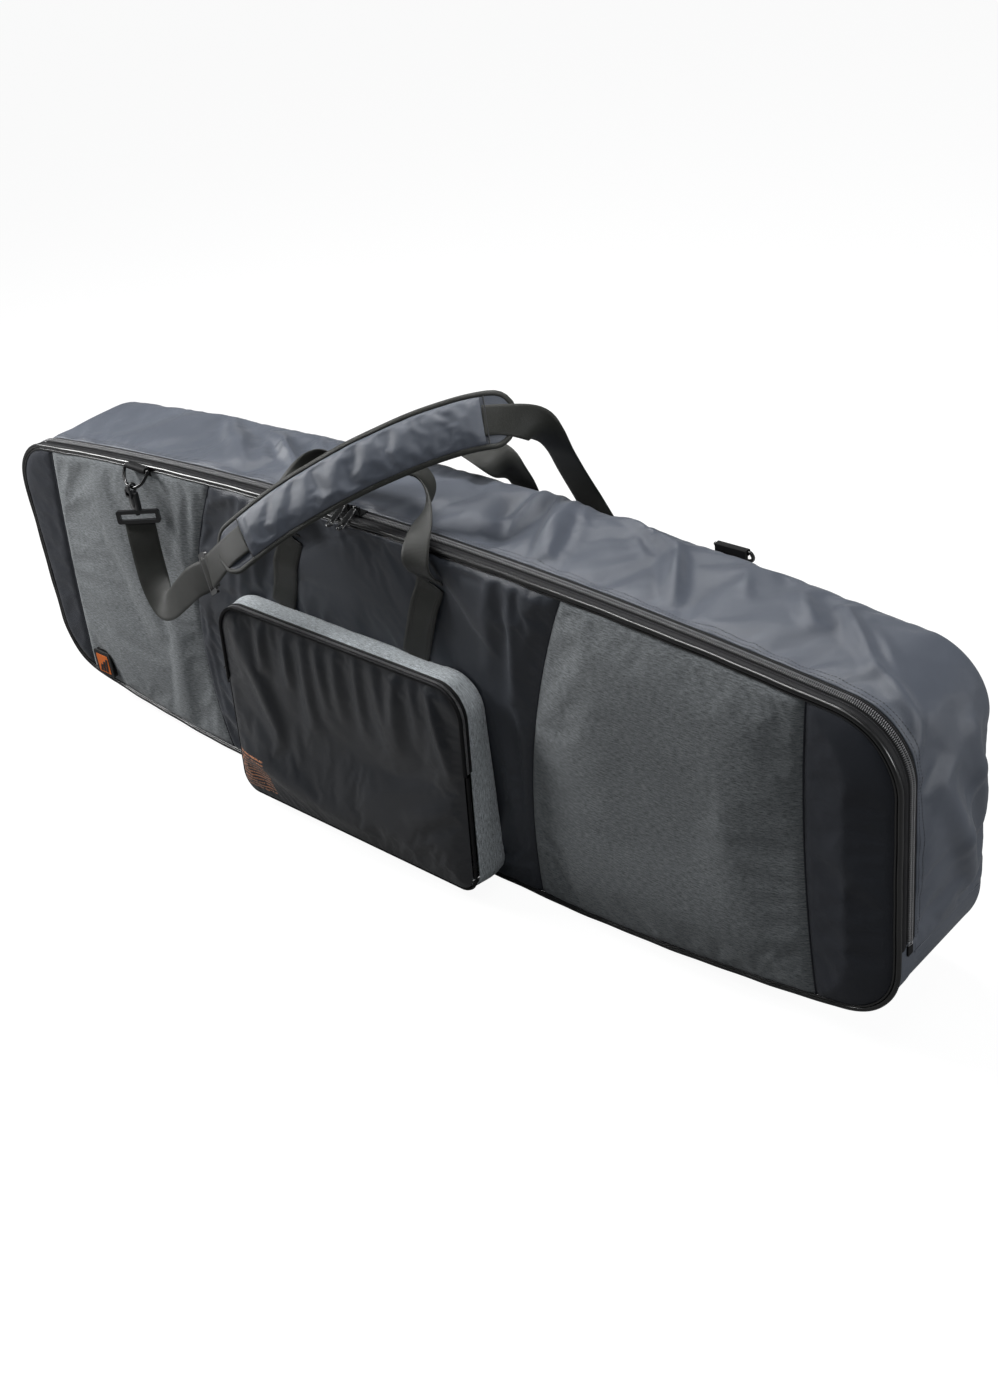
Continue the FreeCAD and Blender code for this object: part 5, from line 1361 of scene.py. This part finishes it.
def build_pad():
    """Shoulder pad: bound base, sleeve, and the seams across the sleeve's ends."""
    centre, side, normal, run = pad_frames()
    total, end_round = run[-1], 0.030
    ends = np.minimum(run, total - run)
    curve = np.sqrt(np.maximum(end_round ** 2 - (end_round - ends) ** 2, 1e-6)) / end_round
    width = np.where(ends < end_round, curve, 1.0) * PAD_HALF
    pad_base(centre, side, normal, run, width)
    pad_binding(centre, side, normal, width)
    first, last = 0.052, total - 0.040
    pad_sleeve(centre, side, normal, run, first, last)
    for side_name, place_at in (("left", first), ("right", last)):
        spot = np.argmin(np.abs(run - place_at))
        across = np.linspace(-0.93, 0.93, 40)[:, None]
        path = centre[spot] + side[spot] * across * PAD_HALF + normal[spot] * 0.0036
        out = np.tile(normal[spot], (40, 1))
        add(tube("pad_seam_" + side_name, path, 0.0009, THREAD, 6, normals=out), "lid")
    return centre, side, normal, run


def build_strap():
    turn = math.radians(35)
    across = (math.cos(turn), math.sin(turn), 0.0)
    centre, side, normal, run = build_pad()
    start = (-0.470, FRONT - 0.024, LOOP_Z)
    low = (start[0], start[1], LOOP_Z - 0.008)
    rows = [(*start, *across, WEB), (*low, *across, WEB)]
    rows += [(*row, WEB) for row in FRONT_STRAP]
    tip = np.argmin(np.abs(run - 0.016))
    seam = np.argmin(np.abs(run - 0.054))
    for spot, lift in ((tip, 0.0030), (seam, 0.0030)):
        rows.append((*(centre[spot] + normal[spot] * lift), *side[spot], WEB - 0.006))
    web = ribbon("strap_front_webbing", rows, WEBBING, 0.0006)
    add(web, "lid", ["strap_front_web"])
    spots = [np.argmin(np.abs(run - (run[-1] - d))) for d in (0.042, 0.012)]
    rows = [(*(centre[s] + normal[s] * 0.0032), *side[s], WEB - 0.008) for s in spots]
    rows += [(*row, WEB) for row in REAR_STRAP]
    end = (0.457, BACK + 0.024, LOOP_Z)
    rows += [(end[0], end[1], LOOP_Z - 0.008, -1, 0, 0, WEB), (*end, -1, 0, 0, WEB)]
    web = ribbon("strap_rear_webbing", rows, WEBBING, 0.0006)
    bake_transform(web)
    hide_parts("strap_rear_web")


# ------------------------------------------------------------------- hard small parts
def dress(name, material, width=0.0006, segments=2):
    """Gives a hard part its material and softened edges."""
    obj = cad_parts[name]
    obj.data.materials.clear()
    obj.data.materials.append(material)
    if width:
        modified(obj, "BEVEL", width=width, segments=segments, limit_method="ANGLE",
                 angle_limit=math.radians(40), harden_normals=False)
    obj.data.polygons.foreach_set("use_smooth", [True] * len(obj.data.polygons))
    return obj


def pull_mesh(name, length, width, thick, matrix, body, stands_for):
    """Zip pull: a tongue with a bright rim and a round hole, hung from its eye."""
    half = width / 2
    tip = -length + half
    outer = np.concatenate([
        [(-half * 0.55, -0.002), (-half, -0.010)],
        arc(0, tip, half, math.pi, 2 * math.pi, 24),
        [(half, -0.010), (half * 0.55, -0.002)],
    ])
    hole = arc(0, tip, width * 0.29, 0, 2 * math.pi, 25)[:-1]
    edge = resampled(outer, 0.001, closed=True)
    ring = resampled(hole, 0.0008, closed=True)
    every = np.concatenate([edge, ring])
    n, m = len(edge), len(ring)
    ties = [(i, (i + 1) % n) for i in range(n)] + [(n + i, n + (i + 1) % m) for i in range(m)]
    found = delaunay_2d_cdt([Vector(p) for p in every.tolist()], ties, [], 1, 1e-9)
    flat = np.array([tuple(p) for p in found[0]])
    faces = [f for f in found[2]
             if np.linalg.norm(flat[list(f)].mean(axis=0) - [0, tip]) > width * 0.285]
    points = np.stack([flat[:, 0], np.zeros(len(flat)), flat[:, 1]], axis=-1)
    plate = new_object(name + "_tongue", points, faces, flat, ENAMEL)
    modified(plate, "SOLIDIFY", thickness=thick * 0.7, offset=0)
    modified(plate, "BEVEL", width=0.0003, segments=2, limit_method="ANGLE")
    normals = np.tile([0.0, -1.0, 0.0], (len(edge), 1))
    path = np.stack([edge[:, 0], np.zeros(n), edge[:, 1]], axis=-1)
    rim = tube(name + "_rim", path, thick * 0.42, RIM_METAL, 8, normals=normals, closed=True)
    path = np.stack([ring[:, 0], np.zeros(m), ring[:, 1]], axis=-1)
    eye = tube(name + "_hole_rim", path, thick * 0.36, RIM_METAL, 8,
               normals=np.tile([0.0, -1.0, 0.0], (m, 1)), closed=True)
    angle = np.linspace(0, 2 * math.pi, 20, endpoint=False)
    loop = np.stack([np.zeros(20), 0.0019 * np.cos(angle), 0.0019 * np.sin(angle)], axis=-1)
    knuckle = tube(name + "_eye", loop, 0.0008, ENAMEL, 8,
                   normals=np.tile([1.0, 0.0, 0.0], (20, 1)), closed=True)
    set_points(knuckle, points_of(knuckle) * [half * 0.5 / 0.0008, 1, 1])
    for part in (plate, rim, eye, knuckle):
        part.data.transform(matrix)
        add(part, body)
    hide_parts(*stands_for)


def build_hardware():
    for name in ("front_ring", "rear_ring"):
        dress(name, ENAMEL, 0)
    for name in ("front_hook", "rear_hook", "front_hook_gate", "rear_hook_gate",
                 "front_hook_loop", "rear_hook_loop", "tri_glide"):
        dress(name, MOULDED, 0.0008, 3)
    for name in ("zip_slider_left", "zip_slider_right", "pocket_slider"):
        dress(name, ENAMEL, 0.0004, 2)
    for name in ("front_ring_tab", "rear_ring_tab", "zip_stop_left", "zip_stop_right"):
        dress(name, TAPE, 0.0004, 2)
    for name in ("lid_lining", "back_foam"):
        dress(name, LINING, 0.001, 2)
    for side, x, body in (("left", -0.037, "zip_pull_left"), ("right", -0.016, "zip_pull_right")):
        crown = HEIGHT + 0.0008
        tilt = math.asin(x / TOP_RADIUS)
        pivot = Vector((0, LID_EDGE - 0.0066, crown + 0.0095))
        middle = Vector((0, 0, HEIGHT - TOP_RADIUS))
        carry = Matrix.Translation(middle) @ Matrix.Rotation(tilt, 4, "Y") @ Matrix.Translation(-middle)
        swing = Matrix.Rotation(math.radians(26.5 - 90), 4, "X")
        place_of = carry @ Matrix.Translation(pivot) @ swing
        pull_mesh("main_pull_" + side, 0.040, 0.0100, 0.0020, place_of, body,
                  ["zip_pull_" + side])
    slope = math.atan(POCKET_SLOPE)
    at = Vector((POCKET["left"], pocket_y(0.232), 0.232))
    spot = Vector((-0.0079, (-0.0047 + 0.0068) / 2, -0.0046))
    place_of = (Matrix.Translation(at) @ Matrix.Rotation(-slope, 4, "X") @ Matrix.Translation(spot)
                @ Matrix.Rotation(math.pi / 2, 4, "Z"))
    pull_mesh("pocket_pull_tab", 0.026, 0.007, 0.0020, place_of, "pocket_pull",
              ["pocket_pull"])
    # raised oval button on the front of each snap hook
    for side, x, y, way, body in (("front", -0.470, FRONT - 0.024, -1, "lid"),
                                  ("rear", 0.457, BACK + 0.024, 1, "shell")):
        low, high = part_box(side + "_hook")
        middle = 0.5 * (low[2] + high[2]) - 0.004
        angle = np.linspace(0, 2 * math.pi, 28, endpoint=False)
        rows = []
        for share, lift in ((1.0, -0.0004), (1.0, 0.0008), (0.82, 0.0016), (0.4, 0.0019), (0.02, 0.0020)):
            rows.append(np.stack([x + 0.0048 * share * np.cos(angle),
                                  np.full(28, y + way * (0.0045 + lift)),
                                  middle + 0.0085 * share * np.sin(angle)], axis=-1))
        points = np.stack(rows, axis=0)
        uv = np.stack([points[..., 0], points[..., 2]], axis=-1)
        add(grid_object(side + "_hook_button", points, uv, BUTTON_GREY, closed=True), body)


def build_patch():
    """Small rubber patch: dark field, orange frame and three rising strokes."""
    low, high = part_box("lid_patch")
    dress("lid_patch", RUBBER, 0.0005, 2)
    left, right, foot, top = low[0], high[0], low[2], high[2]
    y = FRONT - 0.0085

    def slab(name, corners, material, thick=0.0007, level=y):
        corners = np.array(corners, float)
        made = new_object(name, standing(corners, level), [list(range(len(corners)))], corners,
                          material, smooth=False)
        modified(made, "SOLIDIFY", thickness=thick, offset=0)
        modified(made, "BEVEL", width=0.0002, segments=2, limit_method="ANGLE")
        return add(made, "lid")

    round_corner = 0.005

    def rounded(inset):
        l, r, b, t = left + inset, right - inset, foot + inset, top - inset
        c = max(0.001, round_corner - inset)
        return np.concatenate([
            arc(r - c, b + c, c, -ROUND, 0, 6), arc(r - c, t - c, c, 0, ROUND, 6),
            arc(l + c, t - c, c, ROUND, 2 * ROUND, 6),
            arc(l + c, b + c, c, 2 * ROUND, 3 * ROUND, 6)])

    slab("patch_base", rounded(0.0), RUBBER, 0.0030, y + 0.0022)
    slab("patch_field", rounded(0.0065), ORANGE, 0.0008, y + 0.0004)
    width = (right - left) / 9
    for number in range(3):
        x = left + width * (2.2 + 1.6 * number)
        rise = (top - foot) * (0.28 + 0.13 * number)
        slab("patch_stroke_%d" % number, [
            (x, foot + 0.009), (x + width * 1.1, foot + 0.009),
            (x + width * 1.9, foot + 0.009 + rise), (x + width * 0.8, foot + 0.009 + rise)],
            RUBBER, 0.0008, y - 0.0002)


# --------------------------------------------------------------------- build it all
FRONT_FACE = build_panels()
build_piping()
build_zip()
build_gusset()
build_back()
build_pocket()
build_handles()
build_strap()
build_hardware()
build_patch()
for item in ITEMS:
    bpy.data.objects.remove(item)


# --------------------------------------------------------------- stage, light, camera
def build_stage():
    material, tree = new_material("studio floor")
    seen = node(tree, "ShaderNodeLightPath").outputs["Is Camera Ray"]
    tone = mixed(tree, seen, colour(0.22, 0.22, 0.22), colour(0.80, 0.80, 0.80))
    matt = node(tree, "ShaderNodeBsdfDiffuse", {"Color": tone})
    white = node(tree, "ShaderNodeEmission", {"Color": colour(1, 1, 1), "Strength": 1.12})
    share = maths(tree, "MULTIPLY", seen, 0.84)
    both = node(tree, "ShaderNodeMixShader", {0: share, 1: matt.outputs[0], 2: white.outputs[0]})
    node(tree, "ShaderNodeOutputMaterial", {"Surface": both.outputs[0]})
    floor = new_object("studio_floor", [(-9, -9, 0), (9, -9, 0), (9, 9, 0), (-9, 9, 0)],
                       [[0, 1, 2, 3]], [(0, 0), (1, 0), (1, 1), (0, 1)], material, smooth=False)
    world = bpy.data.worlds.new("studio")
    bpy.context.scene.world = world
    world.use_nodes = True
    tree = world.node_tree
    tree.nodes.clear()
    seen = node(tree, "ShaderNodeLightPath").outputs["Is Camera Ray"]
    soft = node(tree, "ShaderNodeBackground", {"Color": colour(0.90, 0.95, 1.0), "Strength": 0.09})
    white = node(tree, "ShaderNodeBackground", {"Color": colour(1, 1, 1), "Strength": 0.97})
    both = node(tree, "ShaderNodeMixShader", {0: seen, 1: soft.outputs[0], 2: white.outputs[0]})
    node(tree, "ShaderNodeOutputWorld", {"Surface": both.outputs[0]})


def area_light(name, where, aim, size, power, tint=(1, 1, 1)):
    light = bpy.data.lights.new(name, "AREA")
    light.shape = "RECTANGLE"
    light.size, light.size_y = size
    light.energy = power
    light.color = tint
    obj = bpy.data.objects.new(name, light)
    obj.location = where
    obj.rotation_euler = (Vector(aim) - Vector(where)).to_track_quat("-Z", "Y").to_euler()
    bpy.context.scene.collection.objects.link(obj)


def build_camera():
    """Seen from the right, above and in front, with the camera rolled a little."""
    azimuth, elevation, roll = (math.radians(v) for v in (45.72, 31.84, 7.59))
    forward = Vector((-math.sin(azimuth) * math.cos(elevation),
                      math.cos(azimuth) * math.cos(elevation), -math.sin(elevation)))
    lens = bpy.data.cameras.new("camera")
    lens.lens = 44.09
    lens.sensor_width = 36.0
    lens.sensor_fit = "AUTO"
    camera = bpy.data.objects.new("camera", lens)
    camera.location = (1.5956, -1.4377, 1.5025)
    level = forward.to_track_quat("-Z", "Y")
    camera.rotation_mode = "QUATERNION"
    camera.rotation_quaternion = Quaternion(forward, roll) @ level
    bpy.context.scene.collection.objects.link(camera)
    bpy.context.scene.camera = camera


build_stage()
area_light("left key", (-2.0, -0.75, 1.5), (-0.4, 0.0, 0.3), (0.9, 0.8), 50, (1.0, 1.0, 1.0))
area_light("top", (-0.3, 0.45, 2.4), (0.0, 0.0, 0.4), (1.3, 0.35), 40, (1.0, 1.0, 1.0))
area_light("edge", (0.5, -0.30, 1.9), (0.5, -0.02, 0.4), (1.6, 0.25), 9, (1.0, 1.0, 1.0))
area_light("right side", (4.4, 0.9, 1.7), (0.5, 0.0, 0.25), (1.6, 1.4), 92, (0.98, 0.99, 1.0))
build_camera()
bpy.context.scene.view_settings.view_transform = "Standard"
